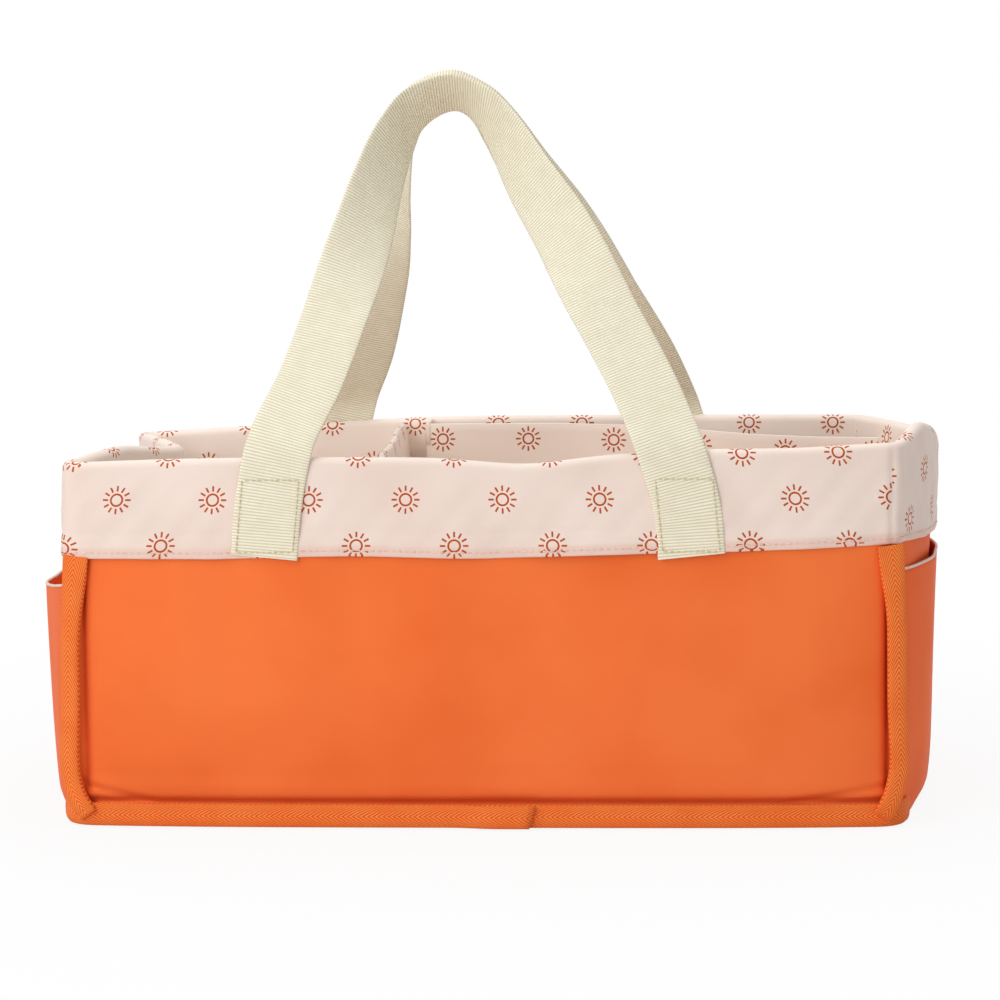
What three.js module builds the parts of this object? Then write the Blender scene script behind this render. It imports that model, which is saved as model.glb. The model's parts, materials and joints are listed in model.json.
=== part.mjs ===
// A soft nursery caddy: an open-topped rectangular tote of orange nylon over foam, lined with a pale
// printed cloth that turns over the rim, with two webbing handles, two side pockets, an inner back
// pocket and a cross divider that lifts out.
// Millimetres. X runs to the right, Y to the back and Z up, from the middle of the base on the floor.

import * as THREE from 'three';

// The body
const width = 400;
const depth = 240;
const rimHeight = 178.5;
const panelThickness = 1;
const foamThickness = 3;
const liningThickness = 1;
const boardThickness = 3;
const cuffStandoff = 0.6;
const clearance = 0.3;

// How far the middle of each wall stands out of the straight line between its corners
const longWallBow = 4;
const longWallPower = 4;
const shortWallPower = 2;
const shortWallBaseBow = 5;
const rightWallRimBow = 26;
const rightBowPower = 2;
const leftWallCave = 34;
const leftCreaseShare = 0.08;
const leftCaveShares = [0, 0, 0.06, 0.22, 0.48, 0.74, 0.95, 1.08, 1];
const leftBaseBowFall = 2;

// Rim and hem heights along each wall, as shares of the rim height, evenly spaced from corner to corner
const frontRimShares = [0.973, 0.988, 0.993, 0.993, 0.992, 0.976, 1.005, 1.016, 1.018, 1.034];
const rightRimShares = [1.034, 1.074, 1.05, 0.992, 0.99, 0.994, 0.997, 0.998, 0.998];
const backRimShares = [0.954, 0.968, 0.981, 0.993, 0.998, 0.998, 0.998, 0.998, 0.998];
const leftRimShares = [0.973, 0.994, 1.001, 0.984, 0.969, 0.967, 0.963, 0.959, 0.954];
const frontHemShares = [0.732, 0.732, 0.74, 0.732, 0.743, 0.75, 0.764];
const rightHemShares = [0.764, 0.753, 0.747, 0.745, 0.745];
const backHemShares = [0.732, 0.735, 0.74, 0.743, 0.745];
const leftHemShares = [0.732, 0.727, 0.725, 0.727, 0.732];

// Side pockets
const pocketThickness = 1;
const leftPocketBow = 26;
const rightPocketBow = 26.5;
const leftPocketDrop = 12.7;
const leftPocketSag = 10;
const rightPocketDrop = 9.2;
const rightPocketSag = 1.5;
const pocketBowPower = 0.25;
const pocketCornerInset = 1.2;
const panelLevels = 5;
const floorColumns = 10;
const floorRows = 8;
const bindingThickness = 0.7;
const bindingDrop = 2.5;

// Inner back pocket and cross divider
const innerPocketThickness = 1.2;
const innerPocketDepth = 32;
const innerPocketSideGap = 0.9;
const innerPocketLeft = -40;
const innerPocketColumns = 7;
const innerPocketTopShares = [0.943, 0.946, 0.955, 0.972, 0.985, 0.99, 0.99, 0.99];
const dividerX = -46;
const dividerThickness = 3;
const dividerTop = 174.5;
const dividerLean = 11;
const dividerLeanPower = 4;
const stripThickness = 1;
const stripWidth = 10;
const stripBottom = 40;
const stripTop = 152;
const stripLevels = 4;

// Binding tapes on the corner seams and round the base
const tapeWidth = 10.5;
const tapeThickness = 3.5;
const tapeSides = 8;
const frontTapeInset = 5;
const hemCheckWidths = 4;
const tapeBendShares = [0, -0.1, -0.15, -0.2, -0.25, -0.2, 0.1];
const baseTapeHeight = 12;
const baseTapeLift = 0.4;
const baseTapeLapX = 18;
const baseTapeLap = 14;
const baseTapeCornerSteps = 5;
const baseTapeLongSteps = 10;
const baseTapeShortSteps = 12;

// Webbing handles
const webbingWidth = 32;
const webbingThickness = 1.8;
const frontTabX = [-98, 95];
const backTabX = [-90, 97];
const tabSplay = 5;
const handleRise = 204;
const backHandleExtraRise = 3;
const backHandleApexShift = -9;
const handleTopGap = 0.7;
const handleStartLift = 1.4;
const handleSteps = 44;
const squareStartShare = 0.07;
const twistStartShare = 0.4;
const hingeHalfGap = 0.15;
const handleAcrossShares = [
  0, 0.0725, 0.137, 0.188, 0.2155, 0.26, 0.315, 0.42, 0.497, 0.537, 0.611, 0.694, 0.788, 0.917, 1,
];
const handleRiseShares = [
  0, 0.191, 0.402, 0.598, 0.722, 0.862, 0.955, 1, 0.952, 0.885, 0.742, 0.598, 0.402, 0.148, 0,
];

// Colours
const nylonOrange = 0xe66a35;
const tapeOrange = 0xf4712b;
const printedPeach = 0xeedbd0;
const bindingPeach = 0xf0d8cc;
const webbingIvory = 0xe3dcc2;
const foamWhite = 0xe8e6e0;
const boardGrey = 0x8c8c88;
const stripWhite = 0xe9e4dc;
const satinRoughness = 0.45;
const clothRoughness = 0.8;

// Sizes that follow from those above
const halfWidth = width / 2;
const halfDepth = depth / 2;
const foamInset = panelThickness + clearance;
const liningInset = foamInset + foamThickness + clearance;
const wallThickness = liningInset + liningThickness;
const cornerZone = wallThickness + 2 * clearance;
const wallFoot = panelThickness + clearance;
const cuffReach = cuffStandoff + liningThickness;
const boardFoot = wallFoot;
const floorLiningFoot = boardFoot + boardThickness + clearance;
const floorTop = floorLiningFoot + liningThickness;
const pocketSwellFoot = baseTapeLift + baseTapeHeight + clearance;

const clamp01 = (value) => Math.min(1, Math.max(0, value));

function smoothStep(value) {
  const t = clamp01(value);
  return t * t * (3 - 2 * t);
}

// The value at a place from 0 to 1 along a row of evenly spaced values
function valueAlong(values, place) {
  const scaled = clamp01(place) * (values.length - 1);
  const first = Math.min(Math.floor(scaled), values.length - 2);
  return values[first] + (values[first + 1] - values[first]) * (scaled - first);
}

// How much of a wall's bow is left at a distance from its middle: all at the middle, none at a corner
function bowFall(distance, half, power) {
  const share = Math.abs(distance) / (half - cornerZone);
  return Math.max(0, 1 - share ** power);
}

// The left wall's inward fold: a straight-sided tent, highest at the crease
function creaseFall(distance) {
  const reach = halfDepth - cornerZone;
  const crease = leftCreaseShare * reach;
  if (distance < crease) return clamp01((distance + reach) / (crease + reach));
  return clamp01((reach - distance) / (reach - crease));
}

function rightBow(distance, height) {
  const rise = (rightWallRimBow - shortWallBaseBow) * (height / rimHeight) ** rightBowPower;
  return (shortWallBaseBow + rise) * bowFall(distance, halfDepth, shortWallPower);
}

function leftBow(distance, height) {
  const level = clamp01(height / rimHeight);
  const base = shortWallBaseBow * (1 - level) ** leftBaseBowFall;
  const cave = leftWallCave * valueAlong(leftCaveShares, level);
  return base * bowFall(distance, halfDepth, shortWallPower) - cave * creaseFall(distance);
}

const longBow = (distance) => longWallBow * bowFall(distance, halfWidth, longWallPower);

// Each wall: its half length, how far it stands out, and how a place on it becomes a point
const frontWall = {
  half: halfWidth,
  columns: 12,
  levels: 3,
  cuffLevels: 0,
  out: longBow,
  rimShares: frontRimShares,
  hemShares: frontHemShares,
  point: (along, out, height) => new THREE.Vector3(along, -halfDepth - out, height),
};
const backWall = {
  half: halfWidth,
  columns: 12,
  levels: 3,
  cuffLevels: 0,
  out: longBow,
  rimShares: backRimShares,
  hemShares: backHemShares,
  point: (along, out, height) => new THREE.Vector3(along, halfDepth + out, height),
};
const rightWall = {
  half: halfDepth,
  columns: 12,
  levels: 5,
  cuffLevels: 1,
  out: rightBow,
  rimShares: rightRimShares,
  hemShares: rightHemShares,
  point: (along, out, height) => new THREE.Vector3(halfWidth + out, along, height),
};
const leftWall = {
  half: halfDepth,
  columns: 14,
  levels: 8,
  cuffLevels: 2,
  out: leftBow,
  rimShares: leftRimShares,
  hemShares: leftHemShares,
  point: (along, out, height) => new THREE.Vector3(-halfWidth - out, along, height),
};

const placeOn = (wall, along) => (along + wall.half) / (2 * wall.half);
const rimAt = (wall, along) => rimHeight * valueAlong(wall.rimShares, placeOn(wall, along));
const hemAt = (wall, along) => rimHeight * valueAlong(wall.hemShares, placeOn(wall, along));

// Where a wall's columns stand: evenly between its corner zones, with the first and last at its ends
function stationAlong(wall, column, span) {
  if (column === 0) return -span;
  if (column === wall.columns) return span;
  const reach = wall.half - cornerZone;
  return -reach + (2 * reach * (column - 1)) / (wall.columns - 2);
}

// A closed body between two grids of points, side 0 and side 1, joined along their four edges.
// Its squares are split along one diagonal, and along the other from the row where the sheet turns down.
function sheetGeometry(columns, rows, place, turnRow = rows) {
  const positions = [];
  for (let side = 0; side < 2; side += 1) {
    for (let row = 0; row <= rows; row += 1) {
      for (let column = 0; column <= columns; column += 1) {
        positions.push(...place(column, row, side).toArray());
      }
    }
  }
  const at = (column, row, side) => (side * (rows + 1) + row) * (columns + 1) + column;
  const triangles = [];
  const addQuad = (a, b, c, d) => triangles.push([a, b, c], [a, c, d]);
  for (let row = 0; row < rows; row += 1) {
    for (let column = 0; column < columns; column += 1) {
      const corners = (side) => [
        at(column, row, side),
        at(column + 1, row, side),
        at(column + 1, row + 1, side),
        at(column, row + 1, side),
      ];
      const [a, b, c, d] = corners(0);
      const [e, f, g, h] = corners(1);
      if (row < turnRow) {
        addQuad(a, b, c, d);
        addQuad(e, h, g, f);
      } else {
        addQuad(b, c, d, a);
        addQuad(f, e, h, g);
      }
    }
    addQuad(at(0, row, 1), at(0, row, 0), at(0, row + 1, 0), at(0, row + 1, 1));
    addQuad(at(columns, row, 0), at(columns, row, 1), at(columns, row + 1, 1), at(columns, row + 1, 0));
  }
  for (let column = 0; column < columns; column += 1) {
    addQuad(at(column, 0, 1), at(column + 1, 0, 1), at(column + 1, 0, 0), at(column, 0, 0));
    addQuad(at(column, rows, 0), at(column + 1, rows, 0), at(column + 1, rows, 1), at(column, rows, 1));
  }
  return closedGeometry(positions, triangles);
}

// A closed body round a run of rings of points, with a flat end at each end of the run
function ringGeometry(rings) {
  const sides = rings[0].length;
  const positions = rings.flat().flatMap((point) => point.toArray());
  const triangles = [];
  for (let ring = 0; ring < rings.length - 1; ring += 1) {
    for (let side = 0; side < sides; side += 1) {
      const next = (side + 1) % sides;
      const here = ring * sides;
      const there = here + sides;
      triangles.push([here + side, here + next, there + next]);
      triangles.push([here + side, there + next, there + side]);
    }
  }
  const last = (rings.length - 1) * sides;
  for (let side = 1; side < sides - 1; side += 1) {
    triangles.push([0, side + 1, side], [last, last + side, last + side + 1]);
  }
  return closedGeometry(positions, triangles);
}

// A geometry from points and triangles, turned the other way round where its faces point inwards
function closedGeometry(positions, triangles) {
  const corner = (index) => new THREE.Vector3().fromArray(positions, 3 * index);
  let volume = 0;
  for (const [a, b, c] of triangles) {
    volume += corner(a).dot(corner(b).cross(corner(c)));
  }
  const facing = volume < 0 ? triangles.map(([a, b, c]) => [a, c, b]) : triangles;
  const geometry = new THREE.BufferGeometry();
  geometry.setAttribute('position', new THREE.Float32BufferAttribute(positions, 3));
  geometry.setIndex(facing.flat());
  geometry.computeVertexNormals();
  return geometry;
}

const caddy = new THREE.Group();
const bag = new THREE.Group();
const frontHandleGroup = new THREE.Group();
const backHandleGroup = new THREE.Group();
const dividerGroup = new THREE.Group();
caddy.add(bag, frontHandleGroup, backHandleGroup, dividerGroup);

function addPiece(group, name, geometry, color, roughness) {
  const material = new THREE.MeshStandardMaterial({ color, roughness, metalness: 0 });
  const mesh = new THREE.Mesh(geometry, material);
  mesh.name = name;
  group.add(mesh);
}

// One flat layer of a wall, from its foot to just under the turned lining
function wallLayer(wall, inset, thickness, span) {
  return sheetGeometry(wall.columns, wall.levels, (column, row, side) => {
    const along = stationAlong(wall, column, span);
    const top = rimAt(wall, along) - liningThickness - clearance;
    const level = (rimHeight * row) / wall.levels;
    let height = level;
    if (row === 0) height = wallFoot;
    if (row === wall.levels) height = top;
    return wall.point(along, wall.out(along, height) - inset - side * thickness, height);
  });
}

// The lining of a wall: up the inside, over the rim and down the outside to the hem of its cuff,
// which hangs straight from the rim or lies on the wall where that stands further out
function liningSheet(wall, innerSpan, outerSpan) {
  const innerRows = wall.levels;
  const cuffLevels = wall.cuffLevels;
  const rows = innerRows + cuffLevels + 2;
  return sheetGeometry(wall.columns, rows, (column, row, side) => {
    const inside = row <= innerRows;
    const along = stationAlong(wall, column, inside ? innerSpan : outerSpan);
    const face = side * liningThickness;
    const top = rimAt(wall, along) - liningThickness + face;
    let height = (rimHeight * row) / innerRows;
    if (row === 0) height = floorTop + clearance;
    if (row === innerRows || row === innerRows + 1) height = top;
    if (row > innerRows + 1) height = (rimHeight * (2 * innerRows + 1 - row)) / innerRows;
    if (row === rows) height = hemAt(wall, along);
    const reach = inside ? -liningInset - face : cuffStandoff + face;
    const lying = wall.out(along, height);
    const out = inside ? lying : Math.max(lying, wall.out(along, top));
    return wall.point(along, out + reach, height);
  }, innerRows);
}

// A layer of the floor, inside the outline of the walls by an inset
function floorLayer(foot, thickness, inset) {
  return sheetGeometry(floorColumns, floorRows, (column, row, side) => {
    const across = (2 * column) / floorColumns - 1;
    const back = (2 * row) / floorRows - 1;
    const sideBow = shortWallBaseBow * bowFall(back * halfDepth, halfDepth, shortWallPower);
    const endBow = longBow(across * halfWidth);
    const x = across * (halfWidth + sideBow - inset);
    const y = back * (halfDepth + endBow - inset);
    return new THREE.Vector3(x, y, foot + side * thickness);
  });
}

function addWalls() {
  const walls = { front: frontWall, back: backWall, left: leftWall, right: rightWall };
  for (const [name, wall] of Object.entries(walls)) {
    const long = wall.half === halfWidth;
    const panelSpan = long ? halfWidth : halfDepth - foamInset;
    const foamSpan = long ? halfWidth - foamInset : halfDepth - liningInset;
    const innerSpan = wall.half - wallThickness - clearance;
    const outerSpan = long ? halfWidth + cuffReach : halfDepth - cuffStandoff;
    const panel = wallLayer(wall, 0, panelThickness, panelSpan);
    const foam = wallLayer(wall, foamInset, foamThickness, foamSpan);
    addPiece(bag, `${name}_panel`, panel, nylonOrange, satinRoughness);
    addPiece(bag, `${name}_foam`, foam, foamWhite, clothRoughness);
    addPiece(bag, `${name}_lining`, liningSheet(wall, innerSpan, outerSpan), printedPeach, satinRoughness);
  }
}

function addFloor() {
  const board = floorLayer(boardFoot, boardThickness, cornerZone);
  const lining = floorLayer(floorLiningFoot, liningThickness, cornerZone);
  addPiece(bag, 'base_panel', floorLayer(0, panelThickness, 0), nylonOrange, satinRoughness);
  addPiece(bag, 'base_board', board, boardGrey, clothRoughness);
  addPiece(bag, 'base_lining', lining, printedPeach, satinRoughness);
}

// A side pocket stands off its wall by a bow, and its top edge runs below the hem of the cuff
function sidePocket(wall, bow, dropBelowHem, sag) {
  const top = rimHeight * Math.min(...wall.hemShares) - dropBelowHem;
  return { wall, bow, top, sag };
}

const pockets = {
  left: sidePocket(leftWall, leftPocketBow, leftPocketDrop, leftPocketSag),
  right: sidePocket(rightWall, rightPocketBow, rightPocketDrop, rightPocketSag),
};

// A pocket rises straight behind the base tape and swells out above it
function pocketOut(pocket, along, height) {
  const level = clamp01((height - pocketSwellFoot) / (pocket.top - pocketSwellFoot));
  const rise = (pocket.bow - shortWallBaseBow) * level ** pocketBowPower;
  const bow = (shortWallBaseBow + rise) * bowFall(along, halfDepth, shortWallPower);
  return clearance + pocketThickness + bow;
}

function pocketTopAt(pocket, along) {
  return pocket.top - pocket.sag * bowFall(along, halfDepth, shortWallPower);
}

function pocketSheet(pocket) {
  return sheetGeometry(pocket.wall.columns, panelLevels, (column, row, side) => {
    const along = stationAlong(pocket.wall, column, halfDepth - pocketCornerInset);
    const rise = pocketTopAt(pocket, along) - pocketSwellFoot;
    const height = row === 0 ? wallFoot : pocketSwellFoot + (rise * (row - 1)) / (panelLevels - 1);
    const out = pocketOut(pocket, along, height) - side * pocketThickness;
    return pocket.wall.point(along, out, height);
  });
}

// A narrow tape down the outside of a pocket's top edge and over it
function pocketBinding(pocket) {
  const rows = 2;
  return sheetGeometry(pocket.wall.columns, rows, (column, row, side) => {
    const along = stationAlong(pocket.wall, column, halfDepth - pocketCornerInset);
    const edge = pocketTopAt(pocket, along);
    const face = clearance + side * bindingThickness;
    const height = row === 0 ? edge - bindingDrop : edge + face;
    const reach = row === rows ? -pocketThickness : face;
    return pocket.wall.point(along, pocketOut(pocket, along, edge) + reach, height);
  });
}

function addPockets() {
  for (const [name, pocket] of Object.entries(pockets)) {
    addPiece(bag, `${name}_pocket`, pocketSheet(pocket), nylonOrange, satinRoughness);
    addPiece(bag, `${name}_pocket_binding`, pocketBinding(pocket), bindingPeach, clothRoughness);
  }
}

// The back pocket inside: a panel across the right compartment and its turned-back left side
function innerPocketSheet() {
  const panelY = halfDepth - wallThickness - innerPocketDepth;
  return sheetGeometry(innerPocketColumns + 1, panelLevels, (column, row, side) => {
    const face = side * innerPocketThickness;
    const y = panelY + face;
    const turned = column > innerPocketColumns;
    const place = turned ? 1 : column / innerPocketColumns;
    const top = rimHeight * valueAlong(innerPocketTopShares, place);
    const foot = floorTop + clearance;
    const height = foot + ((top - foot) * row) / panelLevels;
    const left = innerPocketLeft + face;
    const right = halfWidth + rightBow(y, height) - wallThickness - innerPocketSideGap;
    const x = left + (right - left) * (1 - place);
    const back = halfDepth + longBow(left) - wallThickness - clearance;
    return new THREE.Vector3(x, turned ? back : y, height);
  });
}

function dividerMiddle(height) {
  return dividerX - dividerLean * (height / dividerTop) ** dividerLeanPower;
}

function dividerSheet(reach) {
  return sheetGeometry(1, panelLevels, (column, row, side) => {
    const foot = floorTop + clearance;
    const height = foot + ((dividerTop - foot) * row) / panelLevels;
    const x = dividerMiddle(height) + (side - 0.5) * dividerThickness;
    return new THREE.Vector3(x, column === 0 ? -reach : reach, height);
  });
}

// A hook or loop strip that follows the divider's end, its nearer face at a distance from the middle
function fastenerStrip(facing, near) {
  return sheetGeometry(1, stripLevels, (column, row, side) => {
    const height = stripBottom + ((stripTop - stripBottom) * row) / stripLevels;
    const x = dividerMiddle(height) + (column - 0.5) * stripWidth;
    return new THREE.Vector3(x, facing * (near + side * stripThickness), height);
  });
}

function addInside() {
  const liningFace = halfDepth + longBow(dividerX - dividerLean - stripWidth / 2) - wallThickness;
  const loopNear = liningFace - clearance - stripThickness;
  const hookNear = loopNear - clearance - stripThickness;
  const divider = dividerSheet(hookNear - clearance);
  addPiece(bag, 'inner_pocket', innerPocketSheet(), printedPeach, satinRoughness);
  addPiece(dividerGroup, 'cross_divider', divider, printedPeach, satinRoughness);
  for (const [name, facing] of [['front', -1], ['back', 1]]) {
    const loops = fastenerStrip(facing, loopNear);
    const hooks = fastenerStrip(facing, hookNear);
    addPiece(bag, `${name}_loop_strip`, loops, stripWhite, clothRoughness);
    addPiece(dividerGroup, `${name}_hook_strip`, hooks, stripWhite, clothRoughness);
  }
}

// An oval section, square to a path, as a ring of points
function ovalRing(middle, wide, thick, halfWide, halfThick) {
  const ring = [];
  for (let side = 0; side < tapeSides; side += 1) {
    const angle = (2 * Math.PI * (side + 0.5)) / tapeSides;
    const point = middle.clone();
    point.addScaledVector(wide, halfWide * Math.cos(angle));
    point.addScaledVector(thick, halfThick * Math.sin(angle));
    ring.push(point);
  }
  return ring;
}

// A binding tape down a corner seam, lying on the long wall beside the corner
function cornerTape(wall, sideways) {
  const hemInside = hemAt(wall, sideways * (wall.half - hemCheckWidths * tapeWidth));
  const top = Math.min(hemAt(wall, sideways * wall.half), hemInside) - clearance;
  const foot = baseTapeLift + baseTapeHeight + clearance;
  const rings = tapeBendShares.map((share, step) => {
    const height = top + ((foot - top) * step) / (tapeBendShares.length - 1);
    const inset = frontTapeInset + share * tapeWidth;
    const along = sideways * (wall.half - inset);
    const out = longBow(wall.half - inset - tapeWidth / 2) + clearance + tapeThickness / 2;
    const outward = wall.point(0, 1, 0).sub(wall.point(0, 0, 0));
    const middle = wall.point(along, out, height);
    return ovalRing(middle, new THREE.Vector3(1, 0, 0), outward, tapeWidth / 2, tapeThickness / 2);
  });
  return ringGeometry(rings);
}

// The line that the middle of the base tape follows: once round the walls, its ends lapping in front
function baseTapePath() {
  const onLong = clearance + tapeThickness / 2;
  const onShort = clearance + pocketThickness + onLong;
  const path = [];
  const addRun = (wall, from, to, steps, reach) => {
    for (let step = 0; step <= steps; step += 1) {
      const along = from + ((to - from) * step) / steps;
      path.push(wall.point(along, longBow(along) + reach, 0));
    }
  };
  const addPocketRun = (pocket, from, to) => {
    for (let step = 0; step <= baseTapeShortSteps; step += 1) {
      const along = from + ((to - from) * step) / baseTapeShortSteps;
      path.push(pocket.wall.point(along, pocketOut(pocket, along, 0) + onLong, 0));
    }
  };
  const addCorner = (acrossSign, backSign, fromShort) => {
    for (let step = 1; step < baseTapeCornerSteps; step += 1) {
      const share = step / baseTapeCornerSteps;
      const turn = ((fromShort ? 1 - share : share) * Math.PI) / 2;
      const x = acrossSign * (halfWidth + onShort * Math.sin(turn));
      const y = backSign * (halfDepth + onLong * Math.cos(turn));
      path.push(new THREE.Vector3(x, y, 0));
    }
  };
  const lapStart = baseTapeLapX - baseTapeLap;
  const topStart = lapStart - baseTapeLap / 2;
  const onTape = onLong + tapeThickness + clearance;
  addRun(frontWall, lapStart, halfWidth, baseTapeLongSteps, onLong);
  addCorner(1, -1, false);
  addPocketRun(pockets.right, -halfDepth, halfDepth);
  addCorner(1, 1, true);
  addRun(backWall, halfWidth, -halfWidth, baseTapeLongSteps, onLong);
  addCorner(-1, 1, false);
  addPocketRun(pockets.left, halfDepth, -halfDepth);
  addCorner(-1, -1, true);
  addRun(frontWall, -halfWidth, lapStart - baseTapeLap, baseTapeLongSteps, onLong);
  addRun(frontWall, topStart, baseTapeLapX, 1, onTape);
  return path;
}

function baseTape() {
  const path = baseTapePath();
  const up = new THREE.Vector3(0, 0, 1);
  const lift = baseTapeLift + baseTapeHeight / 2;
  const rings = path.map((point, index) => {
    const before = path[Math.max(0, index - 1)];
    const after = path[Math.min(path.length - 1, index + 1)];
    const outward = after.clone().sub(before).normalize().cross(up);
    const middle = point.clone().addScaledVector(up, lift);
    return ovalRing(middle, up, outward, baseTapeHeight / 2, tapeThickness / 2);
  });
  return ringGeometry(rings);
}

function addTapes() {
  for (const [name, wall] of [['front', frontWall], ['back', backWall]]) {
    addPiece(bag, `${name}_left_tape`, cornerTape(wall, -1), tapeOrange, clothRoughness);
    addPiece(bag, `${name}_right_tape`, cornerTape(wall, 1), tapeOrange, clothRoughness);
  }
  addPiece(bag, 'base_tape', baseTape(), tapeOrange, clothRoughness);
}

// How far the inner face of a sewn handle end lies from the middle of the caddy, and the fold line
const tabReaches = [...frontTabX, ...backTabX].map((x) => Math.abs(x));
const tabInnerEdge = Math.min(...tabReaches) - webbingWidth / 2;
const tabNear = halfDepth + longBow(tabInnerEdge) + cuffReach + clearance;
const tabFar = tabNear + webbingThickness;
const hingeOut = tabFar + hingeHalfGap;

// The sewn ends reach as high as the rim beside them, and the handles fold just above
const outerEdges = (ends) => [ends[0] - webbingWidth / 2, ends[1] + webbingWidth / 2];
const frontRimsAtTabs = outerEdges(frontTabX).map((x) => rimAt(frontWall, x));
const backRimsAtTabs = outerEdges(backTabX).map((x) => rimAt(backWall, x));
const rimsAtTabs = [...frontRimsAtTabs, ...backRimsAtTabs];
const tabTop = Math.max(...rimsAtTabs);
const hingeHeight = tabTop + clearance;

function handleTab(wall, x) {
  const splay = Math.sign(x) * tabSplay;
  return sheetGeometry(1, 1, (column, row, side) => {
    const height = row === 0 ? hemAt(wall, x) : tabTop;
    const middle = row === 0 ? x + splay : x;
    const along = middle + (column - 0.5) * webbingWidth;
    const out = (side === 0 ? tabFar : tabNear) - halfDepth;
    return wall.point(along, out, height);
  });
}

// The middle line of a handle in its leaning plane: across in X and up in Y
function handleLine(ends, rise, apexShift) {
  const points = handleAcrossShares.map((share, index) => {
    const up = handleRiseShares[index];
    const shift = apexShift * smoothStep(up);
    const across = ends[0] + share * (ends[1] - ends[0]) + shift;
    return new THREE.Vector3(across, handleStartLift + up * (rise - handleStartLift), 0);
  });
  return new THREE.CatmullRomCurve3(points, false, 'centripetal');
}

// How far a handle leans in from its fold line for the inner edge of its top to reach mid-depth
function handleLean(rise, middleDepth) {
  const edgeDepth = webbingWidth / 2 - middleDepth;
  const reach = Math.hypot(rise, edgeDepth);
  return Math.asin(clamp01((hingeOut - handleTopGap) / reach)) - Math.atan2(edgeDepth, rise);
}

// A handle: flat webbing that rises from two ends in a leaning plane and turns edge-on over the top.
// The outer edges of its legs become the front edge of its top, seen from outside.
function handleStrap(wall, ends, rise, apexShift) {
  const line = handleLine(ends, rise, apexShift);
  const middleDepth = -hingeHalfGap - webbingThickness / 2;
  const lean = handleLean(rise, middleDepth);
  return sheetGeometry(handleSteps, 1, (column, row, side) => {
    const share = column / handleSteps;
    const at = line.getPointAt(share);
    const tangent = line.getTangentAt(share);
    const square = new THREE.Vector3(share < 0.5 ? 1 : -1, 0, 0);
    const inward = new THREE.Vector3(tangent.y, -tangent.x, 0);
    const fromEnd = Math.min(share, 1 - share) / squareStartShare;
    inward.lerp(square, 1 - smoothStep(fromEnd)).normalize();
    const twist = (Math.PI / 2) * clamp01((at.y / rise - twistStartShare) / (1 - twistStartShare));
    const across = inward.multiplyScalar(Math.cos(twist));
    across.z = -Math.sin(twist);
    const thick = tangent.clone().cross(across).normalize();
    const point = at.clone().addScaledVector(across, (row - 0.5) * webbingWidth);
    point.addScaledVector(thick, (side - 0.5) * webbingThickness);
    const outward = middleDepth + point.z;
    const out = hingeOut - point.y * Math.sin(lean) + outward * Math.cos(lean) - halfDepth;
    const height = hingeHeight + point.y * Math.cos(lean) + outward * Math.sin(lean);
    return wall.point(point.x, out, height);
  });
}

function addHandles() {
  for (const [name, wall, ends] of [['front', frontWall, frontTabX], ['back', backWall, backTabX]]) {
    addPiece(bag, `${name}_left_tab`, handleTab(wall, ends[0]), webbingIvory, clothRoughness);
    addPiece(bag, `${name}_right_tab`, handleTab(wall, ends[1]), webbingIvory, clothRoughness);
  }
  const backRise = handleRise + backHandleExtraRise;
  const frontStrap = handleStrap(frontWall, frontTabX, handleRise, 0);
  const backStrap = handleStrap(backWall, backTabX, backRise, backHandleApexShift);
  addPiece(frontHandleGroup, 'front_handle', frontStrap, webbingIvory, clothRoughness);
  addPiece(backHandleGroup, 'back_handle', backStrap, webbingIvory, clothRoughness);
}

addWalls();
addFloor();
addPockets();
addInside();
addTapes();
addHandles();

export default caddy;
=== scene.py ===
"""A soft nursery caddy, dressed round its frame: satin nylon walls, a printed lining turned over the
rim, ribbed webbing handles, herringbone binding tapes, side pockets, a back pocket and a divider."""

import json
import math

import bmesh
import bpy
import numpy as np
from mathutils import Matrix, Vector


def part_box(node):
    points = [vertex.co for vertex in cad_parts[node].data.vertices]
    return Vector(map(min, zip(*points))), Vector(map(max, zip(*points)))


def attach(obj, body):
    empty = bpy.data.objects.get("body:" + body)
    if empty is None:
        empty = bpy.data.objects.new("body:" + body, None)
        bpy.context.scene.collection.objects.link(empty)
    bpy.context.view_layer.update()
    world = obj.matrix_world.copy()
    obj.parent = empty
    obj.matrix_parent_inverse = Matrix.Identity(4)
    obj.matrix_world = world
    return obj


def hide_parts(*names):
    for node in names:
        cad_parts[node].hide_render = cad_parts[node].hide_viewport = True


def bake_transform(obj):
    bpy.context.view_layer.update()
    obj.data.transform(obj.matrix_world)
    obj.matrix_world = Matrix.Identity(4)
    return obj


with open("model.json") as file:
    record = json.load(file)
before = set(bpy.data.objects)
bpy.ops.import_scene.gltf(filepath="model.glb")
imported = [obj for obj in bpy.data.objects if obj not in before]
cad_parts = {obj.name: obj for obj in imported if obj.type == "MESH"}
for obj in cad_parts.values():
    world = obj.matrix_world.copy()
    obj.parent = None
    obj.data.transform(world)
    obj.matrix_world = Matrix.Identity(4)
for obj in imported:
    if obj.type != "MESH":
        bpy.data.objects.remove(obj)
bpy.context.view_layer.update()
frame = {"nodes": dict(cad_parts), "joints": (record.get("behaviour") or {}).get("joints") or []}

bl_info = {
    "name": "Nursery caddy builder",
    "version": (1, 0, 0),
    "blender": (4, 5, 0),
    "location": "View3D > Sidebar > Caddy",
    "description": "Builds a soft lined caddy with webbing handles round its fixed frame",
    "category": "Object",
}

MM = 0.001


def cad(node):
    """The lowest and highest corners of a node of the frame, in millimetres."""
    low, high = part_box(node)
    return np.array(low) / MM, np.array(high) / MM


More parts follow.
